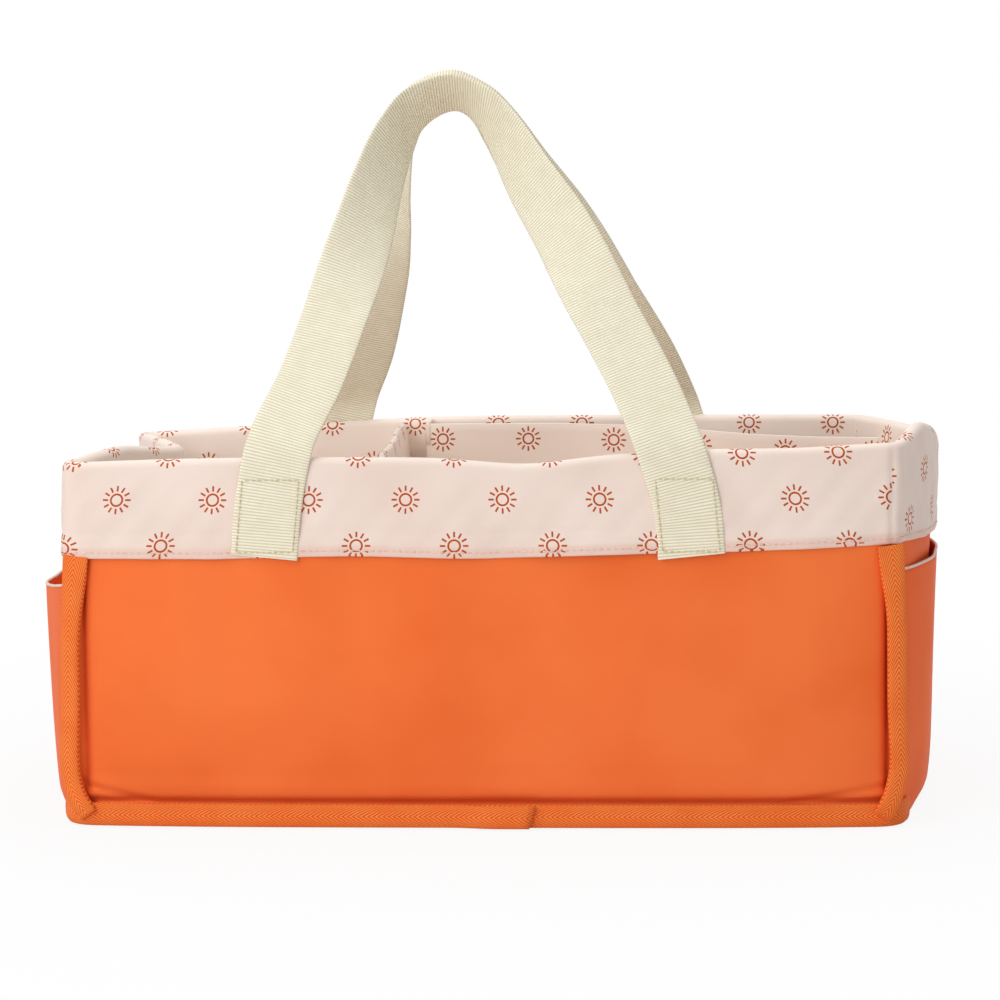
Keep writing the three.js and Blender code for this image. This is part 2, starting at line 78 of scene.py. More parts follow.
def linear(code, alpha=True):
    """An sRGB hex colour as the linear values that shaders take."""
    parts = [int(code[i:i + 2], 16) / 255 for i in (1, 3, 5)]
    values = [p / 12.92 if p <= 0.04045 else ((p + 0.055) / 1.055) ** 2.4 for p in parts]
    return (*values, 1.0) if alpha else tuple(values)


# The frame's own sizes, in millimetres. The long walls' panels bow out past the bag's half depth
LONG_BOW = 4.0
HALF_WIDTH = cad("front_panel")[1][0]
HALF_DEPTH = -cad("front_panel")[0][1] - LONG_BOW
HINGES = {joint["name"]: np.array(joint["pos_m"]) / MM for joint in frame["joints"] if "pos_m" in joint}
FOLD_OUT = -HINGES["front_handle_swing"][1]
FOLD_HEIGHT = HINGES["front_handle_swing"][2]
TAB_LOW, TAB_HIGH = cad("front_left_tab")
WEBBING_THICKNESS = TAB_HIGH[1] - TAB_LOW[1]

# Rim and hem heights round the bag, from the front left corner past the front, right, back and left
BACK_RIM_SHARE = 0.998
RIM_HEIGHT = cad("back_lining")[1][2] / BACK_RIM_SHARE
FRONT_RIM_SHARES = [0.99, 0.999, 1.003, 1.003, 1.001, 0.981, 1.009, 1.021, 1.022, 1.034]
RIGHT_RIM_SHARES = [1.034, 1.074, 1.05, 0.992, 0.99, 0.994, 0.997, 0.998, 0.998]
BACK_RIM_SHARES = [0.998, 0.998, 0.998, 0.998, 0.998, 0.993, 0.981, 0.968, 0.954]
LEFT_RIM_SHARES = [0.954, 0.959, 0.963, 0.967, 0.969, 0.984, 1.003, 0.999, 0.99]
RIM_SHARES = [FRONT_RIM_SHARES, RIGHT_RIM_SHARES, BACK_RIM_SHARES, LEFT_RIM_SHARES]
FRONT_HEM_SHARES = [0.732, 0.732, 0.74, 0.732, 0.743, 0.75, 0.764]
RIGHT_HEM_SHARES = [0.764, 0.753, 0.747, 0.745, 0.745]
BACK_HEM_SHARES = [0.745, 0.743, 0.74, 0.735, 0.732]
LEFT_HEM_SHARES = [0.732, 0.727, 0.725, 0.727, 0.732]
HEM_SHARES = [FRONT_HEM_SHARES, RIGHT_HEM_SHARES, BACK_HEM_SHARES, LEFT_HEM_SHARES]

# How the short walls bow out and the left one folds in
SHORT_BASE_BOW = 5.0
RIGHT_RIM_BOW = 25.5
RIGHT_BOW_POWER = 0.4
LEFT_CAVE = 34.0
LEFT_CREASE_SHARE = 0.08
LEFT_CAVE_SHARES = [0, 0, 0.06, 0.22, 0.48, 0.74, 0.95, 1.08, 1]
CREASE_SOFTNESS = 0.05

# The height, just above the base tape, from which the right wall swells out
SWELL_FOOT = 11.0

# The height up to which the corners narrow from the base's radius to the rim's
CORNER_NARROWING = 45.0

# The layers of a wall, as offsets from its outer face
CUFF_FACE = 1.6
LINING_FACE = -5.6
FOAM_FACE = -1.3
FOAM_THICKNESS = 3.0
CLOTH = 0.7
SATIN_THICKNESS = 0.9
FLOOR_LINING = 5.6

# Columns round the bag: along each long wall, each short wall and each corner, and how evenly they are
# spaced along a wall
LONG_COLUMNS = 126
SHORT_COLUMNS = 80
CORNER_COLUMNS = 12
EVEN_SHARE = 0.4
FRONT, RIGHT, BACK, LEFT = range(4)
WALL_COLUMNS = [LONG_COLUMNS, SHORT_COLUMNS, LONG_COLUMNS, SHORT_COLUMNS]
WALL_STARTS = np.cumsum([0] + [count + CORNER_COLUMNS for count in WALL_COLUMNS])
LOOP = int(WALL_STARTS[-1])


def smooth_step(value):
    """3t^2 - 2t^3, with t held between 0 and 1."""
    t = np.clip(value, 0, 1)
    return t * t * (3 - 2 * t)


def bump(distance, width):
    """The bell exp(-(d / w)^2)."""
    return np.exp(-(distance / width) ** 2)


def rising(value, start, reach):
    """0 up to a start and 1 from a reach beyond it, with a smooth step between."""
    return smooth_step((value - start) / reach)


def smooth_loop(values, passes):
    """Each value becomes (before + 2 * itself + after) / 4 round the loop, over and over."""
    for _ in range(passes):
        values = (np.roll(values, 1, axis=1) + 2 * values + np.roll(values, -1, axis=1)) / 4
    return values


def smooth_row(values, passes):
    """The same along a row whose two ends stay."""
    for _ in range(passes):
        values[1:-1] = (values[:-2] + 2 * values[1:-1] + values[2:]) / 4
    return values


def unit(vectors):
    """Vectors divided by their own lengths."""
    return vectors / np.linalg.norm(vectors, axis=-1, keepdims=True)


def lengths_along(path):
    """How far along a path each of its points lies: the sum of the steps before it."""
    return np.append(0, np.cumsum(np.linalg.norm(np.diff(path, axis=0), axis=1)))


def along_path(path, places, lengths):
    """The points at places along a path, on straight lines between its own points."""
    return np.stack([np.interp(places, lengths, axis) for axis in path.T], axis=1)


def curve_through(points, count):
    """A centripetal Catmull-Rom curve through the points, at evenly spaced places along its length."""
    points = np.array(points, float)
    knots = np.append(0, np.cumsum(np.linalg.norm(np.diff(points, axis=0), axis=1) ** 0.5))
    slopes = np.gradient(points, knots, axis=0)
    fine = np.linspace(0, knots[-1], 60 * len(points))
    first = np.clip(np.searchsorted(knots, fine, "right") - 1, 0, len(points) - 2)
    span = (knots[first + 1] - knots[first])[:, None]
    t = (fine - knots[first])[:, None] / span
    start = (2 * t ** 3 - 3 * t ** 2 + 1) * points[first] + (t ** 3 - 2 * t ** 2 + t) * span * slopes[first]
    end = (3 * t ** 2 - 2 * t ** 3) * points[first + 1] + (t ** 3 - t ** 2) * span * slopes[first + 1]
    curve = start + end
    lengths = lengths_along(curve)
    places = np.linspace(0, lengths[-1], count)
    return along_path(curve, places, lengths), places


def ripple(points, seed, wavelength, upright=0.35, waves=7):
    """Soft folds: a sum of plane waves sin(k . p + phase), the k's seeded and mostly level."""
    random = np.random.default_rng(seed)
    total = np.zeros(points.shape[:-1])
    for _ in range(waves):
        direction = unit(random.normal(size=3) * (1, 1, upright))
        turns = points @ direction / (wavelength * random.uniform(0.6, 1.7))
        total += np.sin(2 * math.pi * (turns + random.uniform()))
    return total / math.sqrt(waves)


def folds(points, rows):
    """A sum of soft folds, each with its seed, its wavelength, how upright it may run and its depth."""
    return sum(depth * ripple(points, seed, length, upright) for seed, length, upright, depth in rows)


def loop_columns():
    """Each column's wall, its place along the wall from -1 to 1, and the way it faces, in radians. The
    places are e t + (1 - e) sin(pi t / 2), closer together towards the corners."""
    walls, shares, facings = [], [], []
    for wall, count in enumerate(WALL_COLUMNS):
        facing = (wall - 1) * math.pi / 2
        turn = np.linspace(0, math.pi / 2, CORNER_COLUMNS + 1)[:-1]
        walls.append(np.full(count + CORNER_COLUMNS, wall))
        even = np.linspace(-1, 1, count + 1)[:-1]
        drawn = EVEN_SHARE * even + (1 - EVEN_SHARE) * np.sin(math.pi * even / 2)
        shares.append(np.append(drawn, np.ones(CORNER_COLUMNS)))
        facings.append(facing + np.append(np.zeros(count), turn))
    return np.concatenate(walls), np.concatenate(shares), np.concatenate(facings)


COLUMN_WALL, COLUMN_SHARE, COLUMN_FACING = loop_columns()
FACING = np.stack([np.cos(COLUMN_FACING), np.sin(COLUMN_FACING)], axis=1)
WALL_ANGLE = (COLUMN_WALL - 1) * math.pi / 2
SQUARE = np.stack([
    np.cos(WALL_ANGLE) - COLUMN_SHARE * np.sin(WALL_ANGLE),
    np.sin(WALL_ANGLE) + COLUMN_SHARE * np.cos(WALL_ANGLE),
], axis=1)


def round_the_bag(wall_values, passes=6):
    """A value for each column from lists of evenly spaced values along each wall."""
    place = (COLUMN_SHARE + 1) / 2
    values = np.zeros(LOOP)
    for wall, row in enumerate(wall_values):
        along = np.interp(place, np.linspace(0, 1, len(row)), row)
        values = np.where(COLUMN_WALL == wall, along, values)
    return smooth_loop(values[None], passes)[0]


def crease_fall(share):
    """The left wall's inward fold from back to front: the soft lesser of two slopes, 1 at the crease."""
    depth = -share
    rising = (depth + 1) / (1 + LEFT_CREASE_SHARE)
    falling = (1 - depth) / (1 - LEFT_CREASE_SHARE)
    soft = -CREASE_SOFTNESS * np.logaddexp(-rising / CREASE_SOFTNESS, -falling / CREASE_SOFTNESS)
    return np.maximum(soft, 0)


def wall_bow(heights):
    """How far the walls stand out, with k as the height's share of the rim's: b (1 - q^4) on the long
    ones; (s + (r - s) f^0.4) (1 - q^2) on the right, where f runs from 0 at the foot of its swell to 1
    at the rim; and s (1 - k)^2 (1 - q^2) on the left, less its inward fold."""
    q = COLUMN_SHARE
    level = np.clip(heights / RIM_HEIGHT, 0, 1)
    swell = np.clip((heights - SWELL_FOOT) / (RIM_HEIGHT - SWELL_FOOT), 0, 1) ** RIGHT_BOW_POWER
    right = (SHORT_BASE_BOW + (RIGHT_RIM_BOW - SHORT_BASE_BOW) * swell) * (1 - q ** 2)
    cave = LEFT_CAVE * np.interp(level, np.linspace(0, 1, len(LEFT_CAVE_SHARES)), LEFT_CAVE_SHARES)
    left = SHORT_BASE_BOW * (1 - level) ** 2 * (1 - q ** 2) - cave * crease_fall(q)
    return np.choose(COLUMN_WALL, [LONG_BOW * (1 - q ** 4), right, LONG_BOW * (1 - q ** 4), left])


def outline(heights, bow=wall_bow, passes=5):
    """The plan of the walls' outer face: square * (half - r) + (r + bow) * facing, where r is the
    corner radius, wide at the base and small at the rim."""
    shape = bpy.context.scene.caddy_shape
    rim_radius = shape.rim_corner_radius / MM
    extra = (shape.base_corner_radius / MM - rim_radius) * (1 - smooth_step(heights / CORNER_NARROWING))
    radius = (rim_radius + extra)[..., None]
    half = np.array([HALF_WIDTH, HALF_DEPTH])
    plan = SQUARE * (half - radius) + (radius + bow(heights)[..., None]) * FACING
    return smooth_loop(plan, passes)


def level_normals(plan):
    """The outward directions of a plan's one row, as directions in space."""
    return np.concatenate([outward(plan)[0], np.zeros((LOOP, 1))], axis=1)


def outward(plan):
    """The level direction that points out of a plan: its tangent (dx, dy) turned to (dy, -dx)."""
    along = np.roll(plan, -1, axis=1) - np.roll(plan, 1, axis=1)
    normal = np.stack([along[..., 1], -along[..., 0]], axis=-1)
    return unit(normal)


def wall_points(heights, offsets, bow=wall_bow):
    """Points at heights[r, c], set off from the walls' outer face by offsets[r, c]."""
    plan = outline(heights, bow)
    plan = plan + outward(plan) * offsets[..., None]
    return np.concatenate([plan, heights[..., None]], axis=-1)


def column_lengths(height=150.0):
    """How far each column lies round the bag, measured from the middle of its own wall."""
    plan = outline(np.full((1, LOOP), height))[0]
    steps = np.linalg.norm(np.roll(plan, -1, axis=0) - plan, axis=1)
    lengths = np.append(0, np.cumsum(steps))
    middles = [lengths[WALL_STARTS[wall] + WALL_COLUMNS[wall] // 2] for wall in range(4)]
    return lengths, np.array(middles)


def new_piece(name, points, faces, material):
    """An object of these points, in millimetres, and faces, with one finish."""
    mesh = bpy.data.meshes.new(name)
    mesh.from_pydata((points.reshape(-1, 3) * MM).tolist(), [], faces)
    mesh.shade_smooth()
    mesh.materials.append(bpy.data.materials[material])
    mesh.update()
    made = bpy.data.objects.new(name, mesh)
    bpy.context.scene.collection.objects.link(made)
    return made


def surface(name, points, material, low_uv=None, high_uv=None, loop=False, caps=False):
    """A mesh of squares over points[r, c], in millimetres. Row r joins row r + 1 and column c joins
    column c + 1, and the last column joins the first in a loop. Square (r, c) takes low_uv[r, c] and
    low_uv[r + 1, c] on its first side and high_uv on its second. Caps close the two ends of a loop."""
    rows, columns = points.shape[:2]
    squares = columns if loop else columns - 1
    row, column = np.meshgrid(np.arange(rows - 1), np.arange(squares), indexing="ij")
    after = (column + 1) % columns
    corners = [row * columns + column, row * columns + after]
    corners += [(row + 1) * columns + after, (row + 1) * columns + column]
    faces = np.stack(corners, axis=-1).reshape(-1, 4).tolist()
    if caps:
        faces += [list(range(columns))[::-1], list(range((rows - 1) * columns, rows * columns))]
    made = new_piece(name, points, faces, material)
    layer = made.data.uv_layers.new(name="cloth")
    if low_uv is not None:
        uv = [low_uv[:-1], high_uv[:-1], high_uv[1:], low_uv[1:]]
        uv = np.stack(uv, axis=2).reshape(-1, 2)
        if caps:
            uv = np.concatenate([uv, np.zeros((2 * columns, 2))])
        layer.data.foreach_set("uv", (uv * MM).ravel())
    return made


def spread_uv(across, along):
    """The two sides' UVs of a grid whose columns lie at across[r, c] and whose rows lie at along[r, c]."""
    uv = np.stack(np.broadcast_arrays(across, along), axis=-1)
    return uv[:, :-1], uv[:, 1:]


def thicken(piece, thickness):
    """Gives a cloth its thickness behind the face that shows."""
    solid = piece.modifiers.new("thickness", "SOLIDIFY")
    solid.thickness = thickness * MM
    solid.offset = -1
    solid.use_even_offset = False
    return piece


def dress(piece, body, slot, *nodes):
    """Puts a piece on its body and hides the frame's nodes that it stands for. Its slot is not used."""
    if body:
        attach(piece, body)
    if nodes:
        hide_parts(*nodes)
    return piece


# A stitch's rings, from end to end: each one's place as a share of the stitch's length, and its
# radius as a share of the fullest
STITCH_SHARES = [(-0.5, 0.25), (-0.36, 0.85), (0, 1), (0.36, 0.85), (0.5, 0.25)]
STITCH_POINTS = 6


def capsules(path, normals, spacing, length=2.4, radius=0.28):
    """A row of stitches: along the path, every spacing, an oval of rings, m + t along + r (cos a side +
    sin a normal)."""
    lengths = lengths_along(path)
    places = np.arange(spacing / 2, lengths[-1], spacing)
    middle = along_path(path, places, lengths)
    ahead = along_path(path, places + length / 4, lengths)
    tangent = unit(ahead - along_path(path, places - length / 4, lengths))
    side = unit(np.cross(along_path(normals, places, lengths), tangent))
    normal = np.cross(tangent, side)
    angle = np.arange(STITCH_POINTS) * 2 * math.pi / STITCH_POINTS
    around = side[:, None] * np.cos(angle)[:, None] + normal[:, None] * np.sin(angle)[:, None]
    rings = [middle[:, None] + tangent[:, None] * place * length + around * radius * fullness
             for place, fullness in STITCH_SHARES]
    return np.stack(rings, axis=1)


def stitch_piece(name, rows, material, slot="webbing"):
    """One mesh on the bag of all the stitches in a list of (stitches, rings, points) arrays."""
    stitches = np.concatenate(rows)
    faces = []
    for ring in range(len(STITCH_SHARES) - 1):
        for point in range(STITCH_POINTS):
            start = ring * STITCH_POINTS
            turn = (point + 1) % STITCH_POINTS
            faces.append([start + point, start + turn, start + STITCH_POINTS + turn,
                          start + STITCH_POINTS + point])
    quads = np.array(faces + [[0, 5, 4, 3], [0, 3, 2, 1], [24, 25, 26, 27], [24, 27, 28, 29]])
    points_each = len(STITCH_SHARES) * STITCH_POINTS
    faces = (np.arange(len(stitches))[:, None, None] * points_each + quads[None]).reshape(-1, 4)
    return dress(new_piece(name, stitches, faces.tolist(), material), "bag", slot)


# Materials

SATIN = "satin nylon, woven and coated"
PRINT = "polyester satin, woven and printed"
WEBBING = "polypropylene webbing, woven in ribs"
TAPE = "polyester tape, woven in herringbone"
BINDING = "polyester bias binding, woven"
THREAD = "polyester thread, spun"
HEM_THREAD = "peach polyester thread, spun"
FOAM = "polyethylene foam, extruded"
BOARD = "grey board, pressed"
FASTENER = "nylon hook and loop, woven"
PAPER = "white paper, matt"


def feed(tree, sockets, values):
    """Gives sockets their values: a number is set, and another node's socket is linked."""
    for key, value in values.items():
        if isinstance(value, bpy.types.NodeSocket):
            tree.links.new(value, sockets[key])
        else:
            sockets[key].default_value = value


def node(tree, kind, inputs=None, out=0, **settings):
    """Adds one shader node and gives one of its outputs: settings are the node's own values, and inputs
    are numbers, or sockets to link."""
    made = tree.nodes.new("ShaderNode" + kind)
    for name, value in settings.items():
        setattr(made, name, value)
    feed(tree, made.inputs, inputs or {})
    return made.outputs[out]


def new_material(name):
    """A material with an empty tree, and its shader and output nodes."""
    made = bpy.data.materials.new(name)
    made.use_nodes = True
    tree = made.node_tree
    tree.nodes.clear()
    shader = tree.nodes.new("ShaderNodeBsdfPrincipled")
    output = tree.nodes.new("ShaderNodeOutputMaterial")
    tree.links.new(shader.outputs[0], output.inputs["Surface"])
    return tree, shader


def set_shader(tree, shader, height, strength, depth, **values):
    """Sets the shader's sockets by name, an underscore standing for a space, and raises its surface by
    a height, as deep as so many millimetres."""
    relief = node(tree, "Bump", {"Height": height, "Strength": strength, "Distance": depth * MM})
    values = {key.replace("_", " "): value for key, value in values.items()}
    feed(tree, shader.inputs, {**values, "Normal": relief})


def cloth_axes(tree):
    """The way across a cloth and the way along it, in metres."""
    place = node(tree, "UVMap", uv_map="cloth")
    split = node(tree, "SeparateXYZ", {0: place}).node
    return split.outputs["X"], split.outputs["Y"]


def wave_along(tree, way, pitch, operation="COSINE"):
    """A wave along a cloth: the cosine, or the sine, of 2 pi times the way over the pitch."""
    turns = node(tree, "Math", {0: way, 1: 2 * math.pi / pitch}, operation="MULTIPLY")
    return node(tree, "Math", {0: turns}, operation=operation)


def cloth_threads(tree, pitch):
    """The height of a plain weave: warp and weft waves, one thread to a pitch in millimetres."""
    across, along = cloth_axes(tree)
    warp = wave_along(tree, across, pitch * MM, "SINE")
    weft = wave_along(tree, along, pitch * MM, "SINE")
    return node(tree, "Math", {0: warp, 1: weft}, operation="MULTIPLY")


def mottled(tree, light, dark, size, detail=3.0):
    """A colour that drifts between two, over patches of a size in millimetres."""
    place = node(tree, "TexCoord", out="Object")
    patches = node(tree, "TexNoise",
                   {"Vector": place, "Scale": 1 / (size * MM), "Detail": detail, "Roughness": 0.5})
    share = node(tree, "MapRange", {0: patches, 1: 0.35, 2: 0.65})
    return node(tree, "Mix", {0: share, 6: dark, 7: light}, out=2, data_type="RGBA")


def satin_nylon():
    """PU-coated nylon, woven and calendered."""
    colours = bpy.context.scene.caddy_colours
    # To the eye: a smooth satin whose broad gloss keeps the dye's own orange, over a barely seen weave
    tree, shader = new_material(SATIN)
    colour = mottled(tree, (*colours.nylon_light, 1), (*colours.nylon, 1), 90)
    # Threads of 0.25 mm are drawn at 0.9 mm, the finest that a picture of the whole caddy can show
    height = cloth_threads(tree, 0.9)
    set_shader(tree, shader, height, 0.12, 0.05, Base_Color=colour, Metallic=0.2, Roughness=0.46,
               Specular_IOR_Level=0.02, Specular_Tint=(*colours.nylon, 1))


def printed_satin():
    """Polyester satin, woven and screen printed."""
    # To the eye: a pale, dull peach cloth with rust-coloured rings of twelve straight rays on a staggered
    # grid, a little darker where the turned hem lies double, and painted lighter inside the bag as painted
    # light
    colours = bpy.context.scene.caddy_colours
    pattern = bpy.context.scene.caddy_print
    pitch = pattern.pitch
    row_pitch = pattern.row_pitch
    tree, shader = new_material(PRINT)
    u, v = cloth_axes(tree)
    rows = node(tree, "Math", {0: v, 1: row_pitch}, operation="DIVIDE")
    row = node(tree, "Math", {0: rows}, operation="ROUND")
    odd = node(tree, "Math", {0: row, 1: 2.0}, operation="FLOORED_MODULO")
    shift = node(tree, "Math", {0: odd, 1: pitch / 2}, operation="MULTIPLY")
    shifted = node(tree, "Math", {0: u, 1: shift}, operation="SUBTRACT")
    x = node(tree, "Math", {0: shifted, 1: pitch / 2, 2: -pitch / 2}, operation="WRAP")
    y = node(tree, "Math", {0: v, 1: row_pitch / 2, 2: -row_pitch / 2}, operation="WRAP")
    flat = node(tree, "CombineXYZ", {0: x, 1: y})
    radius = node(tree, "VectorMath", {0: flat}, out="Value", operation="LENGTH")
    angle = node(tree, "Math", {0: y, 1: x}, operation="ARCTAN2")
    ray_turn = math.pi / pattern.rays
    spoke = node(tree, "Math", {0: angle, 1: ray_turn, 2: -ray_turn}, operation="WRAP")
    cosine = node(tree, "Math", {0: spoke}, operation="COSINE")
    sine = node(tree, "Math", {0: spoke}, operation="SINE")
    along = node(tree, "Math", {0: radius, 1: cosine}, operation="MULTIPLY")
    aside = node(tree, "Math", {0: radius, 1: sine}, operation="MULTIPLY")
    near = node(tree, "Math", {0: aside, 1: 0.0, 2: pattern.stroke / 2}, operation="COMPARE")
    ray_middle = (pattern.ray_start + pattern.ray_end) / 2
    ray_half = (pattern.ray_end - pattern.ray_start) / 2
    within = node(tree, "Math", {0: along, 1: ray_middle, 2: ray_half}, operation="COMPARE")
    ray = node(tree, "Math", {0: near, 1: within}, operation="MULTIPLY")
    ring = node(tree, "Math", {0: radius, 1: pattern.ring, 2: pattern.stroke / 2}, operation="COMPARE")
    ink = node(tree, "Math", {0: ray, 1: ring}, operation="MAXIMUM")
    cuff = mottled(tree, (*colours.lining, 1), (*colours.lining_shade, 1), 55)
    # 0 inside, and on pieces without this attribute, where the colour is painted lighter as painted light, 1
    # on the cuff and 2 where the hem is double
    layers = node(tree, "Attribute", attribute_name="layers", out="Fac")
    hem = node(tree, "MapRange", {0: layers, 1: 1.0, 2: 2.0})
    single_painted_lighter_inside = node(tree, "Mix", {0: layers, 6: (*colours.lining_inside_painted_lighter, 1), 7: cuff}, out=2,
                  data_type="RGBA")
    cloth = node(tree, "Mix", {0: hem, 6: single_painted_lighter_inside, 7: (*colours.hem, 1)}, out=2, data_type="RGBA")
    colour = node(tree, "Mix", {0: ink, 6: cloth, 7: (*colours.ink, 1)}, out=2, data_type="RGBA")
    # Threads of 0.2 mm are drawn at 0.8 mm, the finest that a picture of the whole caddy can show
    height = cloth_threads(tree, 0.8)
    set_shader(tree, shader, height, 0.1, 0.04, Base_Color=colour, Roughness=0.5, Specular_IOR_Level=0.1)


def ribbed_webbing():
    """Polypropylene webbing, narrow-woven."""
    # To the eye: even ribs across an ivory strap, each with a groove beside it darkened by painted shade
    colours = bpy.context.scene.caddy_colours
    rib = bpy.context.scene.caddy_trim.rib_pitch
    tree, shader = new_material(WEBBING)
    across, along = cloth_axes(tree)
    wave = wave_along(tree, along, rib)
    # 1 on the ribs' crowns, which keep the webbing's colour, and 0 in the grooves, which take a painted shade
    crown_outside_painted_shade = node(tree, "MapRange", {0: wave, 1: -0.9, 2: 0.5})
    # The yarns that cross the ribs, 0.9 mm apart
    threads = wave_along(tree, across, 0.9 * MM)
    drift = mottled(tree, (*colours.webbing, 1), (*colours.webbing_shade, 1), 8)
    colour = node(tree, "Mix", {0: crown_outside_painted_shade, 6: (*colours.webbing_groove_painted_shade, 1), 7: drift}, out=2,
                  data_type="RGBA")
    height = node(tree, "Math", {0: threads, 1: 0.35, 2: wave}, operation="MULTIPLY_ADD")
    set_shader(tree, shader, height, 0.3, 0.06, Base_Color=colour, Roughness=0.7, Specular_IOR_Level=0.15)


def herringbone_tape():
    """Polyester tape, woven in herringbone."""
    # To the eye: bright orange ribs that slant from both edges and meet in a row of arrows, with painted
    # shade between them
    colours = bpy.context.scene.caddy_colours
    trim = bpy.context.scene.caddy_trim
    tree, shader = new_material(TAPE)
    across, along = cloth_axes(tree)
    # The ribs climb 24 degrees towards the middle
    slant = math.radians(24)
    turn = 2 * math.pi / trim.tape_pitch
    aside = node(tree, "Math", {0: across}, operation="ABSOLUTE")
    level = node(tree, "Math", {0: aside, 1: turn * math.cos(slant)}, operation="MULTIPLY")
    turns = node(tree, "Math", {0: along, 1: turn * math.sin(slant), 2: level}, operation="MULTIPLY_ADD")
    wave = node(tree, "Math", {0: turns}, operation="COSINE")
    # 1 on the ribs' crowns and 0 in the grooves, which take a painted shade
    crown_outside_painted_shade = node(tree, "MapRange", {0: wave, 1: -0.95, 2: -0.2})
    drift = mottled(tree, (*colours.tape, 1), (*colours.tape_shade, 1), 12)
    colour = node(tree, "Mix", {0: crown_outside_painted_shade, 6: (*colours.tape_groove_painted_shade, 1), 7: drift}, out=2,
                  data_type="RGBA")
    set_shader(tree, shader, wave, 0.6, 0.15, Base_Color=colour, Roughness=0.65, Specular_IOR_Level=0.15)


def plain_material(name, light, dark, size, roughness, grain, depth, sheen):
    """A dull material: a drifting colour and a fine grain, with sizes in millimetres."""
    tree, shader = new_material(name)
    colour = mottled(tree, linear(light), linear(dark), size)
    place = node(tree, "TexCoord", out="Object")
    height = node(tree, "TexNoise", {"Vector": place, "Scale": 1 / (grain * MM), "Detail": 2.0})
    set_shader(tree, shader, height, 0.5, depth, Base_Color=colour, Roughness=roughness,
               Sheen_Weight=sheen)


# The dull finishes: two colours and the size of the patches they lie in, then the roughness, the size
# and depth of the grain, and the sheen
PLAIN_FINISHES = {
    # A soft matt edge, a little pinker than the lining beside it
    BINDING: ("#ead2c6", "#dfc3b5", 4, 0.7, 0.5, 0.1, 0),
    # A dull twisted yarn, darker than the webbing it is sewn through
    THREAD: ("#dfd4b4", "#cfc29c", 1.5, 0.7, 0.3, 0.05, 0.1),
    # The same yarn in the lining's own colour, so that only its shadow shows
    HEM_THREAD: ("#efd8cb", "#dfc0b0", 1.5, 0.7, 0.3, 0.05, 0.1),
    # A white, pitted skin with no gloss
    FOAM: ("#f2f0ea", "#e4e1d8", 3, 0.9, 0.8, 0.3, 0),
    # A flat grey with darker fibres in it
    BOARD: ("#9a9994", "#85847f", 6, 0.9, 0.5, 0.05, 0),
    # A pale fuzz that catches light at its edges
    FASTENER: ("#f3eee4", "#d9d1c2", 0.8, 0.9, 0.35, 0.4, 0.4),
}


def length_property(name, description, millimetres):
    """A length that a user may change, from its size in millimetres."""
    return bpy.props.FloatProperty(
        name=name, description=description, default=millimetres * MM, unit="LENGTH")


def angle_property(name, description, degrees):
    """An angle that a user may change."""
    return bpy.props.FloatProperty(
        name=name, description=description, default=math.radians(degrees), subtype="ANGLE")


def power_property(name, description, watts):
    """A lamp's power that a user may change."""
    return bpy.props.FloatProperty(name=name, description=description, default=watts, unit="POWER")


def colour_property(name, code):
    """A colour that a user may change, from its hex code."""
    return bpy.props.FloatVectorProperty(
        name=name, description=f"Colour of the {name.lower()}", subtype="COLOR", size=3,
        default=linear(code, alpha=False), min=0, max=1)


class CaddyShape(bpy.types.PropertyGroup):
    """How the soft walls lie."""

    rim_corner_radius: length_property("Rim corner radius", "Radius of the corners at the rim, in plan", 9)
    base_corner_radius: length_property(
        "Base corner radius", "Radius of the corners at the base, in plan", 12)
    rim_roll: length_property("Rim roll", "Radius of the lining where it turns over the rim", 3.6)
    cuff_flare: length_property("Cuff flare", "How far the hem of the cuff stands off the wall", 1.2)
    puff: length_property("Panel fullness", "How far the foam fills out the front and back", 2.6)
    fold_depth: length_property("Fold depth", "Depth of the soft folds in the satin", 0.5)


class CaddyPrint(bpy.types.PropertyGroup):
    """The printed pattern."""

    pitch: length_property("Pitch", "From one motif to the next in its row", 46)
    row_pitch: length_property("Row pitch", "From one row of motifs to the next", 21.9)
    ring: length_property("Ring radius", "Radius of the ring's line", 2.75)
    stroke: length_property("Stroke", "Width of the printed lines", 0.92)
    ray_start: length_property("Ray start", "Where the rays begin, from the motif's middle", 4.1)
    ray_end: length_property("Ray end", "Where the rays end, from the motif's middle", 6.7)
    rays: bpy.props.IntProperty(name="Rays", description="Number of rays round the ring", default=12)


class CaddyTrim(bpy.types.PropertyGroup):
    """Webbing, tapes and stitches."""

    rib_pitch: length_property("Rib pitch", "From one rib of the webbing to the next", 1.45)
    rib_depth: length_property("Rib depth", "How far the ribs stand up", 0.1)
    tape_pitch: length_property("Tape rib pitch", "From one slanting rib of the tape to the next", 1.0)
    tape_width: length_property("Tape width", "Width of the corner tapes", 9.3)
    base_tape_width: length_property("Base tape width", "Width of the tape round the base", 11.2)
    stitch_spacing: length_property("Stitch spacing", "From one stitch of the hem to the next", 3.3)


class CaddyColours(bpy.types.PropertyGroup):
    """The finishes' colours."""

    nylon: colour_property("Nylon", "#ea6c35")
    nylon_light: colour_property("Nylon where it is lighter", "#f27940")
    lining: colour_property("Lining", "#f0ded3")
    lining_shade: colour_property("Lining where it is duller", "#ebd6ca")
    # The lining inside the bag, painted lighter than the cuff as painted light
    lining_inside_painted_lighter: colour_property("Lining inside", "#faeade")
    hem: colour_property("Lining where it is double", "#e9ccbe")
    ink: colour_property("Print", "#b9501f")
    webbing: colour_property("Webbing", "#f8f3e1")
    webbing_shade: colour_property("Webbing where it is duller", "#f2ebd8")
    # Painted shade in the grooves between the webbing's ribs
    webbing_groove_painted_shade: colour_property("Webbing grooves", "#d6cdac")
    tape: colour_property("Tape", "#ff8a40")
    tape_shade: colour_property("Tape where it is duller", "#fd8138")
    # Painted shade in the grooves between the tape's ribs
    tape_groove_painted_shade: colour_property("Tape grooves", "#c9501a")


